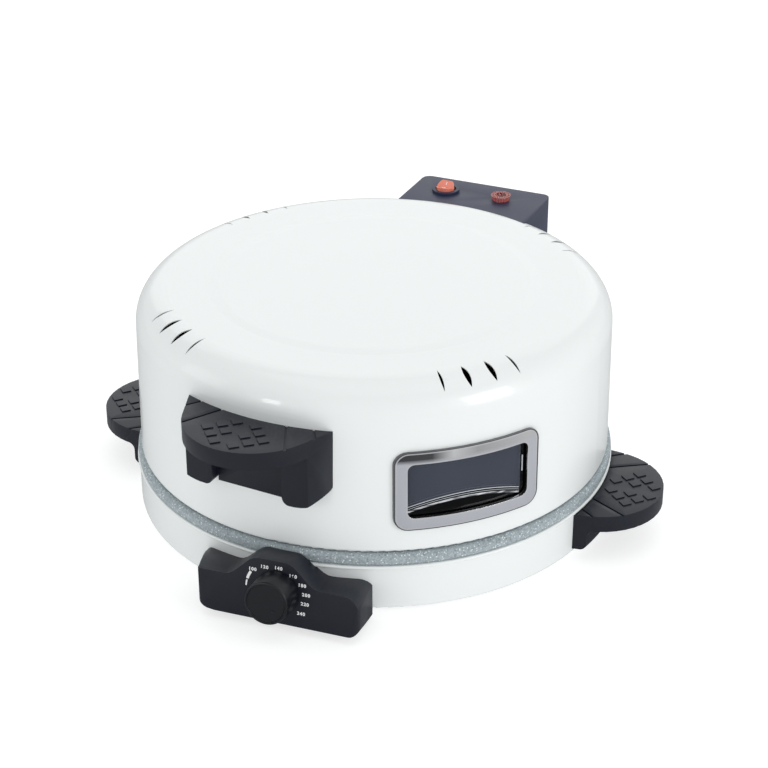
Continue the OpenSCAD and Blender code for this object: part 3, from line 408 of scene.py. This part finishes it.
def translucent_red(name, colour, glow):
    """Moulded translucent plastic with a faint painted glow, an emission standing in for light that passes through
    it.
    """
    paint = Paint(name)
    flow = paint.noise(0.005, 2)
    tone = Vector(colour)
    # The emission is a painted glow for light passing through the plastic
    return paint.surface(
        Base_Color=paint.mix(flow, tone * 0.85, tone * 1.15), Roughness=0.16 + flow * 0.06,
        Subsurface_Weight=0.25, Subsurface_Radius=(0.004, 0.001, 0.0006), Subsurface_Scale=1.0,
        Emission_Color=colour, Emission_Strength=glow, IOR=1.5)


# The rocker and the lamp's lens, each with its faint painted glow
def red_plastic():
    return translucent_red("red_plastic", finishes().rocker_red, 0.12)


def red_lens():
    return translucent_red("red_lens", finishes().lens_red, 0.08)


# The painted glints of the plate's rim seen through the glass: the crest of their arc, its bend, its end at the
# right, and the drop and half thickness of each line. Below the arc and past the post the glass is painted dark as
# shade inside the oven, and a short painted glint bar shines there
ARC_CREST = (-0.005, -0.0092)
ARC_BEND = 0.293
ARC_END = 0.049
PAINTED_GLINT_LINES = ((0, 0.00035), (-0.002, 0.0003), (-0.0044, 0.0009))
POST = 0.0498
BAR_MIDDLE = (0.0519, 0.003)
BAR_HALF = (0.0006, 0.0075)


def oven_glass():
    """Smoked tempered glass, painted dark below an arc and past a post as shade inside the oven, with painted
    glints of the plate's rim along the arc and a painted glint bar.
    """
    paint = Paint("oven_glass")
    across, up = paint.window_place()
    haze = paint.noise(0.03, 3)
    broken = paint.ramp(paint.noise(0.006, 2, paint.stretched((0.4, 0.4, 3))), (0.4, 0.15), (0.6, 1))
    # Painted glints: lines along an arc, and a bar past the post; below the arc and past the post lies the painted
    # shade of the oven's inside
    arc = up + (across - ARC_CREST[0]) ** 2 / ARC_BEND - ARC_CREST[1]
    deep = (arc < 0).at_least(across > POST)
    first, second, third = (arc.near(*line) for line in PAINTED_GLINT_LINES)
    rim = first.at_least(second * 0.6).at_least(third * broken)
    bar = across.near(BAR_MIDDLE[0], BAR_HALF[0]) * up.near(BAR_MIDDLE[1], BAR_HALF[1])
    glint = (rim * (across < ARC_END)).at_least(bar)
    smoke = paint.mix(haze, Vector(finishes().glass) * 0.85, finishes().glass)
    # Painted shade: the glass turns near black and less see-through where the oven's inside is taken to lie dark
    smoke = paint.mix(deep, smoke, (0.0015, 0.0017, 0.002))
    return paint.surface(
        Base_Color=paint.mix(glint, smoke, (0.62, 0.64, 0.68)), Roughness=0.05 + haze * 0.04,
        Alpha=deep * (0.97 - finishes().glass_alpha) + finishes().glass_alpha, Specular_IOR_Level=0.12)


def white_ink():
    """Pad-printed ink of the dial and the switch."""
    paint = Paint("white_ink")
    wear = paint.noise(0.0008, 3)
    return paint.surface(
        Base_Color=paint.mix(wear, (0.82, 0.83, 0.84), (0.95, 0.95, 0.95)), Roughness=0.5 + wear * 0.1)


FINISHES = (
    white_enamel, granite_coating, charcoal_plastic, slate_plastic, black_plastic, polished_steel,
    bright_sheet, zinc_sheet, cast_alloy, element_tube, ceramic, black_rubber, red_plastic, red_lens,
    oven_glass, white_ink)


def finish_named(name):
    return bpy.data.materials[name + FINISH_ENDING]


# ---------------------------------------------------------------- modelling helpers

def deselect():
    """Deselects every object, because an operator acts on all that is selected."""
    if bpy.context.object and bpy.context.object.mode != "OBJECT":
        bpy.ops.object.mode_set(mode="OBJECT")
    bpy.ops.object.select_all(action="DESELECT")


def take(piece):
    """Selects one piece and makes it active."""
    deselect()
    piece.select_set(True)
    bpy.context.view_layer.objects.active = piece
    return piece


def active(name):
    piece = bpy.context.object
    piece.name = name
    piece.data.name = name
    return piece


def open_mesh(piece, kind="FACE"):
    """Enters edit mode with nothing selected."""
    take(piece)
    bpy.ops.object.mode_set(mode="EDIT")
    bpy.ops.mesh.select_mode(type=kind)
    bpy.ops.mesh.select_all(action="DESELECT")


def close_mesh():
    bpy.ops.object.mode_set(mode="OBJECT")


def pick(piece, kind, test):
    """Selects the faces, edges or corners whose place and normal pass the test."""
    open_mesh(piece, {"faces": "FACE", "edges": "EDGE", "corners": "VERT"}[kind])
    close_mesh()
    mesh = piece.data
    if kind == "faces":
        for face in mesh.polygons:
            face.select = test(face.center, face.normal)
    elif kind == "edges":
        for edge in mesh.edges:
            first, second = (mesh.vertices[i].co for i in edge.vertices)
            edge.select = test(first, second)
    else:
        for corner in mesh.vertices:
            corner.select = test(corner.co, corner.normal)
    bpy.ops.object.mode_set(mode="EDIT")


def settle(piece, place=None):
    """Puts the piece's place into its mesh, so that its object stays at the origin."""
    take(piece)
    if place is not None:
        piece.matrix_world = place @ piece.matrix_world
    bpy.ops.object.transform_apply(location=True, rotation=True, scale=True)
    return piece


def modify(piece, kind, **settings):
    """Adds a modifier and applies it."""
    take(piece)
    modifier = piece.modifiers.new(kind, kind)
    for key, value in settings.items():
        setattr(modifier, key, value)
    bpy.ops.object.modifier_apply(modifier=modifier.name)


def hollowed(piece, cutter):
    """Cuts the cutter's shape out of the piece."""
    modify(piece, "BOOLEAN", object=cutter, operation="DIFFERENCE", solver="EXACT")
    bpy.data.objects.remove(cutter)


def smooth(piece):
    """Shades the piece smooth, but for its edges."""
    take(piece)
    bpy.ops.object.shade_smooth_by_angle(angle=math.radians(40))


def dress(piece, finish, body, *replaced):
    """Gives a piece its finish and its body, and hides the nodes that it stands for. Ink is no slot of the record.
    """
    piece.data.materials.clear()
    piece.data.materials.append(finish_named(finish))
    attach(piece, body)
    if replaced:
        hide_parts(*replaced)
    return piece


def copy_of(node, name, whole=True):
    """A copy of a node's mesh, joined up, with its flat faces whole or left as triangles."""
    source = NODES[node]
    piece = bpy.data.objects.new(name, source.data.copy())
    bpy.context.scene.collection.objects.link(piece)
    take(piece)
    if piece.data.has_custom_normals:
        bpy.ops.mesh.customdata_custom_splitnormals_clear()
    bpy.ops.object.mode_set(mode="EDIT")
    bpy.ops.mesh.select_all(action="SELECT")
    bpy.ops.mesh.remove_doubles(threshold=2 * TOUCH)
    if whole:
        bpy.ops.mesh.dissolve_limited(angle_limit=math.radians(0.4))
    close_mesh()
    return piece


def softened(node, name, width, segments=3, angle=32, whole=True, wastes=()):
    """A node's shape, less the wastes, with its sharp edges rounded."""
    piece = copy_of(node, name, whole)
    for waste in wastes:
        hollowed(piece, waste)
    modify(
        piece, "BEVEL", width=width, segments=segments, limit_method="ANGLE", angle_limit=math.radians(angle),
        harden_normals=False, use_clamp_overlap=True, miter_outer="MITER_ARC")
    smooth(piece)
    return piece


def facing(point, towards):
    """The place whose z axis looks towards, whose y axis is up and whose x axis is to the viewer's right."""
    up = Vector((0, 0, 1))
    z = Vector(towards).normalized()
    y = (up - up.dot(z) * z).normalized()
    x = y.cross(z)
    return Matrix.Translation(point) @ Matrix((x, y, z)).transposed().to_4x4()


# ---------------------------------------------------------------- settings

class PIZZA_finish_settings(PropertyGroup):
    enamel: FloatVectorProperty(
        name="Enamel", description="Colour of the lid and base",
        subtype="COLOR", default=(0.82, 0.845, 0.845))
    granite: FloatVectorProperty(
        name="Granite", description="Ground of the plate's coating",
        subtype="COLOR", default=(0.335, 0.385, 0.41))
    granite_pale: FloatVectorProperty(
        name="Pale flecks", description="Pale flecks of the coating",
        subtype="COLOR", default=(0.78, 0.85, 0.87))
    granite_dark: FloatVectorProperty(
        name="Dark flecks", description="Dark flecks of the coating",
        subtype="COLOR", default=(0.13, 0.165, 0.185))
    charcoal: FloatVectorProperty(
        name="Charcoal", description="Handle, grips and panel",
        subtype="COLOR", default=(0.0075, 0.0095, 0.018))
    slate: FloatVectorProperty(
        name="Slate", description="Rear box", subtype="COLOR", default=(0.024, 0.029, 0.066))
    black: FloatVectorProperty(
        name="Black", description="Knob and switch", subtype="COLOR", default=(0.0045, 0.0055, 0.0085))
    rocker_red: FloatVectorProperty(
        name="Rocker red", description="Rocker of the switch", subtype="COLOR", default=(0.68, 0.21, 0.145))
    lens_red: FloatVectorProperty(
        name="Lens red", description="Lens of the pilot lamp", subtype="COLOR", default=(0.44, 0.12, 0.11))
    glass: FloatVectorProperty(
        name="Glass", description="Smoke of the window glass", subtype="COLOR", default=(0.070, 0.079, 0.105))
    glass_alpha: FloatProperty(
        name="Glass density", description="How much the glass hides", min=0, max=1, default=0.75)


class PIZZA_form_settings(PropertyGroup):
    grip_edge: FloatProperty(
        name="Grip edge", description="Rounding of the grips' edges", unit="LENGTH", default=0.0004)
    panel_edge: FloatProperty(
        name="Panel edge", description="Rounding of the panel's edges", unit="LENGTH", default=0.0018)
    box_edge: FloatProperty(
        name="Box edge", description="Rounding of the rear box's edges", unit="LENGTH", default=0.0016)
    frame_edge: FloatProperty(
        name="Frame edge", description="Rounding of the window frame's edges", unit="LENGTH", default=0.0009)
    numeral_h: FloatProperty(
        name="Numeral height", description="Height of the dial's numbers", unit="LENGTH", default=0.004)
    dial_r: FloatProperty(
        name="Dial radius", description="Radius of the rising bars", unit="LENGTH", default=0.0272)
    knob_sides: IntProperty(name="Knob sides", description="Number of faces round the knob", default=128)
    knob_r: FloatProperty(
        name="Knob radius", description="Radius of the knob's foot", unit="LENGTH", default=0.0194)
    knob_l: FloatProperty(
        name="Knob length", description="How far the knob stands out", unit="LENGTH", default=0.023)
    knob_rim: FloatProperty(
        name="Knob rim", description="Rounding of the knob's front rim", unit="LENGTH", default=0.0014)


class PIZZA_stage_settings(PropertyGroup):
    lens: FloatProperty(
        name="Lens", description="Focal length on a 36 mm sensor", unit="CAMERA", default=91.75)
    camera_x: FloatProperty(
        name="Camera X", description="Camera from the body's axis", unit="LENGTH", default=0.6445)
    camera_y: FloatProperty(
        name="Camera Y", description="Camera from the body's axis", unit="LENGTH", default=-1.4273)
    camera_z: FloatProperty(
        name="Camera Z", description="Camera above the table", unit="LENGTH", default=0.9365)
    pitch: FloatProperty(
        name="Pitch", description="How far the camera looks down", subtype="ANGLE", default=0.4872)
    yaw: FloatProperty(
        name="Yaw", description="How far the camera turns right of the axis", subtype="ANGLE", default=0.0048)
    roll: FloatProperty(
        name="Roll", description="How far the camera is rolled", subtype="ANGLE", default=-0.0037)


def finishes():
    return bpy.context.scene.pizza_finishes


def forms():
    return bpy.context.scene.pizza_forms


def stage():
    return bpy.context.scene.pizza_stage


# ---------------------------------------------------------------- operators

class PIZZA_OT_finishes(Operator):
    """Makes every finish and gives each node the finish of its material slot"""

    bl_idname = "pizza.finishes"
    bl_label = "Finishes"

    def execute(self, context):
        for finish in FINISHES:
            finish()
        for part in frame["record"]["subparts"]:
            node = NODES[part["node"]]
            node.data.materials.clear()
            node.data.materials.append(finish_named(part["material_slot"]))
        return {"FINISHED"}


# The lid handle: its turn about the body's axis, and its two bosses' inner sides and lower rounds. What they lose
# there reaches a little past their sides, and runs right through them
HANDLE_TURN = math.radians(-3.5)
BOSS_GAP = 0.033
BOSS_ROUND = 0.0065
BOSS_OVERCUT = 0.0003
WASTE_DEPTH = 0.06


class PIZZA_OT_grips(Operator):
    """Rounds the edges of the lid's handle and side grips, and the inner corners of the handle's bosses"""

    bl_idname = "pizza.grips"
    bl_label = "Handle and grips"

    def execute(self, context):
        wastes = [self.corner_waste(side) for side in (-1, 1)]
        for node, name, body, cut in (
                ("lid_handle", "lid_handle_moulding", "lid", wastes),
                ("side_grip_right", "grip_right_moulding", "base", ()),
                ("side_grip_left", "grip_left_moulding", "base", ())):
            grip = softened(node, name, forms().grip_edge, whole=False, wastes=cut)
            dress(grip, "charcoal_plastic", body, node)
        return {"FINISHED"}

    @staticmethod
    def corner_waste(side):
        """What the inner lower corner of one of the handle's bosses loses to its rounding."""
        corner = Vector((side * BOSS_GAP, -LID_R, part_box("lid_handle")[0].z))
        deselect()
        bpy.ops.mesh.primitive_cube_add(
            size=1, scale=(BOSS_ROUND, WASTE_DEPTH, 2 * BOSS_ROUND),
            location=corner + Vector((side * (BOSS_ROUND / 2 - BOSS_OVERCUT), 0, 0)))
        waste = settle(active("boss_corner"))
        deselect()
        bpy.ops.mesh.primitive_cylinder_add(
            vertices=64, radius=BOSS_ROUND, depth=WASTE_DEPTH + 20 * MM,
            location=corner + Vector((side * BOSS_ROUND, 0, BOSS_ROUND)), rotation=(math.radians(90), 0, 0))
        hollowed(waste, settle(active("boss_round")))
        return settle(waste, Matrix.Translation(BODY_AXIS) @ Matrix.Rotation(HANDLE_TURN, 4, "Z"))


class PIZZA_OT_panel(Operator):
    """Rounds the edges of the control panel"""

    bl_idname = "pizza.panel"
    bl_label = "Control panel"

    def execute(self, context):
        panel = softened("control_panel", "control_panel_moulding", forms().panel_edge, 4, 40)
        dress(panel, "charcoal_plastic", "base", "control_panel")
        return {"FINISHED"}


# Each number's angle clockwise from the top of the dial, and its distance from the dial's middle in mm
DIAL_MARKS = (
    ("100", -52.9, 27.4), ("120", -29.3, 23.4), ("140", 2.4, 21.6), ("160", 39, 21.8), ("180", 64.9, 24.3),
    ("200", 84.8, 25.9), ("220", 103.6, 25.7), ("240", 124.8, 26.7))
# Each rising bar's first and last angle clockwise from the top of the dial, and its width in mm
DIAL_BARS = ((-88, -77, 1.3), (-74.5, -58.6, 2.3))
# The numbers: half their thickness, their middle's height off the face, the fattening of their strokes and
# their spacing
INK_HALF = 0.00003
INK_LIFT = 0.00004
INK_FAT = 0.00017
INK_SPACING = 1.25
# The bars: their thickness, their height off the face, and the length of the strip that each starts from
BAR_THICK = 0.00005
BAR_LIFT = 0.00006
BAR_STRIP = 0.00006


def dial_place():
    """The dial's middle on the panel's face."""
    joint = JOINTS["thermostat_knob"]
    return facing(joint["pos_m"], joint["axis"])


class PIZZA_OT_dial(Operator):
    """Prints the numbers and the two rising bars round the knob"""

    bl_idname = "pizza.dial"
    bl_label = "Dial"

    def execute(self, context):
        place = dial_place()
        for name, angle, radius in DIAL_MARKS:
            dress(self.number(name, angle, radius * MM, place), "white_ink", "base")
        for index, (start, end, width) in enumerate(DIAL_BARS):
            dress(self.wedge(index, start, end, width * MM, place), "white_ink", "base")
        return {"FINISHED"}

    @staticmethod
    def number(name, angle, radius, place):
        """One number on the face, angle degrees clockwise from the top of the dial."""
        deselect()
        bpy.ops.object.text_add()
        words = bpy.context.object.data
        words.body = name
        words.size = forms().numeral_h
        words.align_x = "CENTER"
        words.align_y = "CENTER"
        words.space_character = INK_SPACING
        words.extrude = INK_HALF
        words.offset = INK_FAT
        bpy.ops.object.convert(target="MESH")
        turn = math.radians(90 - angle)
        spot = Vector((radius * math.cos(turn), radius * math.sin(turn), INK_LIFT))
        return settle(active("dial_" + name), place @ Matrix.Translation(spot))

    @staticmethod
    def wedge(index, start, end, width, place):
        """A curved bar of print between two angles, spun from its end."""
        deselect()
        bpy.ops.mesh.primitive_plane_add(size=1)
        bar = active(f"dial_wedge_{index}")
        bar.scale = (width, BAR_STRIP, 1)
        settle(bar, Matrix.Translation((forms().dial_r, 0, BAR_LIFT)))
        pick(bar, "edges", lambda first, second: first.y < 0 and second.y < 0)
        bpy.ops.mesh.spin(steps=12, angle=math.radians(end - start), center=(0, 0, 0), axis=(0, 0, 1))
        bpy.ops.mesh.select_all(action="SELECT")
        bpy.ops.mesh.normals_make_consistent(inside=False)
        close_mesh()
        modify(bar, "SOLIDIFY", thickness=BAR_THICK)
        return settle(bar, place @ Matrix.Rotation(math.radians(90 - start), 4, "Z"))


def turned(name, sides, radius, bottom, top):
    """A cylinder between two heights on the z axis, ready to be shaped."""
    deselect()
    bpy.ops.mesh.primitive_cylinder_add(
        vertices=sides, radius=radius, depth=top - bottom, location=(0, 0, (bottom + top) / 2),
        end_fill_type="NGON")
    return settle(active(name))


def rim_round(piece, height, width):
    """Rounds the edge that runs round a turned piece at a height."""
    pick(piece, "edges", lambda first, second: max(abs(first.z - height), abs(second.z - height)) < TOUCH)
    bpy.ops.mesh.bevel(offset=width, segments=4, affect="EDGES")
    close_mesh()


def top_steps(piece, steps):
    """Sinks or raises rings in a turned piece's top: each step is a ring's width and its change of height."""
    top = max(corner.co.z for corner in piece.data.vertices)
    pick(piece, "faces",
         lambda centre, normal: centre.z > top - 10 * TOUCH and centre.xy.length < 100 * TOUCH)
    for width, rise in steps:
        bpy.ops.mesh.inset(thickness=width, depth=rise)
    close_mesh()


# The knob: its gap to the face, how much narrower its front is, and the rings of its cap. A ball whose middle
# stands off the front takes out its pointer dimple
KNOB_GAP = 0.0006
KNOB_TAPER = 0.0005
KNOB_RINGS = ((0.0006, 0), (0.00025, -0.0004), (0.0003, 0), (0.0003, 0.0003), (0.006, 0.0001))
DIMPLE_R = 0.0014
DIMPLE_PLACE = (0.0066, -0.0057)
DIMPLE_LIFT = 0.0007


class PIZZA_OT_knob(Operator):
    """Turns the thermostat's knob with its rounded rim, the ring round its cap and its pointer dimple"""

    bl_idname = "pizza.knob"
    bl_label = "Knob"

    def execute(self, context):
        form = forms()
        top = KNOB_GAP + form.knob_l
        knob = turned("knob_moulding", form.knob_sides, form.knob_r, KNOB_GAP, top)
        pick(knob, "corners", lambda place, normal: place.z > top - TOUCH)
        taper = 1 - KNOB_TAPER / form.knob_r
        bpy.ops.transform.resize(value=(taper, taper, 1), center_override=(0, 0, top))
        close_mesh()
        rim_round(knob, top, form.knob_rim)
        top_steps(knob, KNOB_RINGS)
        deselect()
        bpy.ops.mesh.primitive_uv_sphere_add(
            segments=32, ring_count=16, radius=DIMPLE_R, location=(*DIMPLE_PLACE, top + DIMPLE_LIFT))
        hollowed(knob, bpy.context.object)
        smooth(settle(knob, dial_place()))
        dress(knob, "black_plastic", "knob", "knob")
        return {"FINISHED"}


# The switch: the rounding of its bezel's and its rocker's edges
BEZEL_EDGE = 0.0007
ROCKER_EDGE = 0.0019
# The middle of each of the rocker's sloping faces from its axle and the slope, with the rocker level
ROCKER_FACE = (0.0038, 0.00807)
ROCKER_SLOPE = math.radians(26.2)
# The marks on them: how deep they are set, the O's ring and its cord, and the I's width, length and thickness
MARK_PLACE = (0, 0, -0.00005)
MARK_O = (0.0016, 0.00026)
MARK_I = (0.0006, 0.0034, 0.0004)


class PIZZA_OT_switch(Operator):
    """Rounds the switch's bezel and rocker, and sets the O and I into the rocker"""

    bl_idname = "pizza.switch"
    bl_label = "Switch"

    def execute(self, context):
        bezel = softened("switch_housing", "switch_bezel", BEZEL_EDGE, 4)
        dress(bezel, "slate_plastic", "lid", "switch_housing")
        rocker = softened("switch_rocker", "switch_rocker_moulding", ROCKER_EDGE, 6, 25)
        dress(rocker, "red_plastic", "rocker", "switch_rocker")
        deselect()
        bpy.ops.mesh.primitive_torus_add(
            major_radius=MARK_O[0], minor_radius=MARK_O[1], major_segments=40, minor_segments=8,
            location=MARK_PLACE)
        dress(settle(active("switch_off_mark"), self.lobe(-1)), "white_ink", "rocker")
        deselect()
        bpy.ops.mesh.primitive_cube_add(size=1, scale=MARK_I, location=MARK_PLACE)
        dress(settle(active("switch_on_mark"), self.lobe(1)), "white_ink", "rocker")
        return {"FINISHED"}

    @staticmethod
    def lobe(side):
        """The middle of one of the rocker's two sloping faces: side is 1 at the back and -1 at the front."""
        joint = JOINTS["switch_rocker"]
        tip = math.radians(joint["range_deg"][1] / 2)
        return (Matrix.Translation(joint["pos_m"]) @ Matrix.Rotation(tip, 4, "X")
                @ Matrix.Translation((0, side * ROCKER_FACE[0], ROCKER_FACE[1]))
                @ Matrix.Rotation(side * ROCKER_SLOPE, 4, "X"))


# The lamp's lens: its flutes, the share of the radius that they reach in to, its rim's rounding and the rings
# of its top
LENS_FLUTES = 20
FLUTE_REACH = 0.92
LENS_RIM = 0.0007
LENS_RINGS = ((0.0012, 0), (0.0004, -0.0003), (0.0008, 0), (0.0004, 0.0003), (0.0012, 0), (0.0004, -0.0003))


class PIZZA_OT_lamp(Operator):
    """Moulds the pilot lamp's fluted lens"""

    bl_idname = "pizza.lamp"
    bl_label = "Pilot lamp"

    def execute(self, context):
        low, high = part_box("pilot_lens")
        centre = (low + high) / 2
        height = high.z - low.z
        lens = turned("pilot_lens_moulding", 4 * LENS_FLUTES, (high.x - low.x) / 2, 0, height)
        step = math.radians(360 / LENS_FLUTES)
        pick(lens, "corners",
             lambda place, normal: (math.atan2(place.y, place.x) + step / 8) % step < step / 2)
        bpy.ops.transform.resize(value=(FLUTE_REACH, FLUTE_REACH, 1), center_override=(0, 0, 0))
        close_mesh()
        rim_round(lens, height, LENS_RIM)
        top_steps(lens, LENS_RINGS)
        smooth(settle(lens, Matrix.Translation((centre.x, centre.y, low.z))))
        dress(lens, "red_lens", "lid", "pilot_lens")
        return {"FINISHED"}


COVER_EDGE = 0.0006


class PIZZA_OT_rear_box(Operator):
    """Rounds the edges of the rear box and its cover"""

    bl_idname = "pizza.rear_box"
    bl_label = "Rear box"

    def execute(self, context):
        box = softened("rear_box", "rear_box_moulding", forms().box_edge, 4)
        dress(box, "slate_plastic", "lid", "rear_box")
        cover = softened("rear_cover", "rear_cover_moulding", COVER_EDGE)
        dress(cover, "slate_plastic", "lid", "rear_cover")
        return {"FINISHED"}


class PIZZA_OT_window(Operator):
    """Rounds the edges of the window's steel frame"""

    bl_idname = "pizza.window"
    bl_label = "Window"

    def execute(self, context):
        trim = softened("window_frame", "window_trim", forms().frame_edge, 4)
        dress(trim, "polished_steel", "lid", "window_frame")
        return {"FINISHED"}


# ---------------------------------------------------------------- stage

# Each soft lamp's place, width and height, and power
LAMPS = (
    ("top_softbox", (0.1, 0.1, 2.4), (2.2, 2.2), 9),
    ("back_left_softbox", (-0.85, 1.95, 1.5), (3.4, 2.2), 16),
    ("left_softbox", (-2.1, -1.3, 0.8), (1.0, 1.2), 3.5),
    ("front_left_softbox", (-0.86, -2.23, 0.66), (0.34, 0.5), 4),
    ("right_softbox", (2.33, -0.58, 0.9), (1.0, 1.2), 15))
# The height above the table that they look at
AIM_HEIGHT = 0.12
# The room's light, and the floor's own shade and how much it glows so that it is white round its shadows
ROOM_TINT = (0.985, 1, 0.995, 1)
ROOM_LIGHT = 0.66
WHITE = (1, 1, 1, 1)
FLOOR_SIZE = 12
FLOOR_SHADE = (0.5, 0.505, 0.51, 1)
FLOOR_GLOW = 0.66
SENSOR_MM = 36


class PIZZA_OT_stage(Operator):
    """Sets the floor, the studio light and the camera"""

    bl_idname = "pizza.stage"
    bl_label = "Stage"

    def execute(self, context):
        self.floor()
        self.world()
        self.lamps()
        self.camera()
        context.scene.view_settings.view_transform = "Standard"
        return {"FINISHED"}

    @staticmethod
    def floor():
        deselect()
        bpy.ops.mesh.primitive_plane_add(size=FLOOR_SIZE)
        floor = active("floor")
        paint = Paint("floor")
        shader = paint.node("BsdfDiffuse", None, Color=FLOOR_SHADE)
        glow = paint.node("Emission", None, Color=WHITE, Strength=FLOOR_GLOW)
        lit = paint.node("AddShader", None, shader, glow)
        mixed = paint.node("MixShader", None, paint.unmirrored(), shader, lit)
        paint.finish(mixed.socket)
        floor.data.materials.append(paint.material)

    @staticmethod
    def world():
        world = bpy.data.worlds.new("studio")
        bpy.context.scene.world = world
        world.use_nodes = True
        tree = world.node_tree
        tree.nodes.clear()
        light = tree.nodes.new("ShaderNodeBackground")
        light.inputs["Color"].default_value = ROOM_TINT
        light.inputs["Strength"].default_value = ROOM_LIGHT
        white = tree.nodes.new("ShaderNodeBackground")
        white.inputs["Color"].default_value = WHITE
        rays = tree.nodes.new("ShaderNodeLightPath")
        mix = tree.nodes.new("ShaderNodeMixShader")
        end = tree.nodes.new("ShaderNodeOutputWorld")
        tree.links.new(rays.outputs["Is Camera Ray"], mix.inputs[0])
        tree.links.new(light.outputs[0], mix.inputs[1])
        tree.links.new(white.outputs[0], mix.inputs[2])
        tree.links.new(mix.outputs[0], end.inputs[0])

    @staticmethod
    def lamps():
        aim = BODY_AXIS + Vector((0, 0, AIM_HEIGHT))
        for name, place, size, power in LAMPS:
            lamp = bpy.data.lights.new(name, "AREA")
            lamp.shape = "RECTANGLE"
            lamp.size, lamp.size_y = size
            lamp.energy = power
            holder = bpy.data.objects.new(name, lamp)
            bpy.context.scene.collection.objects.link(holder)
            turn = (aim - Vector(place)).normalized().to_track_quat("-Z", "Y").to_matrix().to_4x4()
            holder.matrix_world = Matrix.Translation(place) @ turn

    @staticmethod
    def camera():
        look = stage()
        data = bpy.data.cameras.new("camera")
        data.lens = look.lens
        data.sensor_width = SENSOR_MM
        camera = bpy.data.objects.new("camera", data)
        bpy.context.scene.collection.objects.link(camera)
        offset = Vector((look.camera_x, look.camera_y, 0))
        upright = Vector((0, 0, 1))
        level = (-offset).normalized()
        side = level.cross(upright)
        forward = level * math.cos(look.pitch) - upright * math.sin(look.pitch)
        up = side.cross(forward)
        forward, side = (
            math.cos(look.yaw) * forward + math.sin(look.yaw) * side,
            math.cos(look.yaw) * side - math.sin(look.yaw) * forward)
        side, up = (
            math.cos(look.roll) * side + math.sin(look.roll) * up,
            math.cos(look.roll) * up - math.sin(look.roll) * side)
        turn = Matrix((side, up, -forward)).transposed().to_4x4()
        camera.matrix_world = Matrix.Translation(BODY_AXIS + offset + upright * look.camera_z) @ turn
        bpy.context.scene.camera = camera


class PIZZA_PT_panel(Panel):
    """Lists the pieces and their settings"""

    bl_label = "Pizza Maker"
    bl_idname = "PIZZA_PT_panel"
    bl_space_type = "VIEW_3D"
    bl_region_type = "UI"
    bl_category = "Pizza Maker"

    def draw(self, context):
        for operator in OPERATORS:
            self.layout.operator(operator.bl_idname)
        for group in (finishes(), forms(), stage()):
            for name in group.__annotations__:
                self.layout.prop(group, name)


OPERATORS = (
    PIZZA_OT_finishes, PIZZA_OT_grips, PIZZA_OT_panel, PIZZA_OT_dial, PIZZA_OT_knob, PIZZA_OT_rear_box,
    PIZZA_OT_switch, PIZZA_OT_lamp, PIZZA_OT_window, PIZZA_OT_stage)
CLASSES = (PIZZA_finish_settings, PIZZA_form_settings, PIZZA_stage_settings, *OPERATORS, PIZZA_PT_panel)


def register():
    for item in CLASSES:
        bpy.utils.register_class(item)
    bpy.types.Scene.pizza_finishes = PointerProperty(type=PIZZA_finish_settings)
    bpy.types.Scene.pizza_forms = PointerProperty(type=PIZZA_form_settings)
    bpy.types.Scene.pizza_stage = PointerProperty(type=PIZZA_stage_settings)


def unregister():
    del bpy.types.Scene.pizza_stage
    del bpy.types.Scene.pizza_forms
    del bpy.types.Scene.pizza_finishes
    for item in reversed(CLASSES):
        bpy.utils.unregister_class(item)


def main():
    register()
    for operator in OPERATORS:
        group, name = operator.bl_idname.split(".")
        getattr(getattr(bpy.ops, group), name)()
    deselect()


if __name__ == "__main__":
    main()
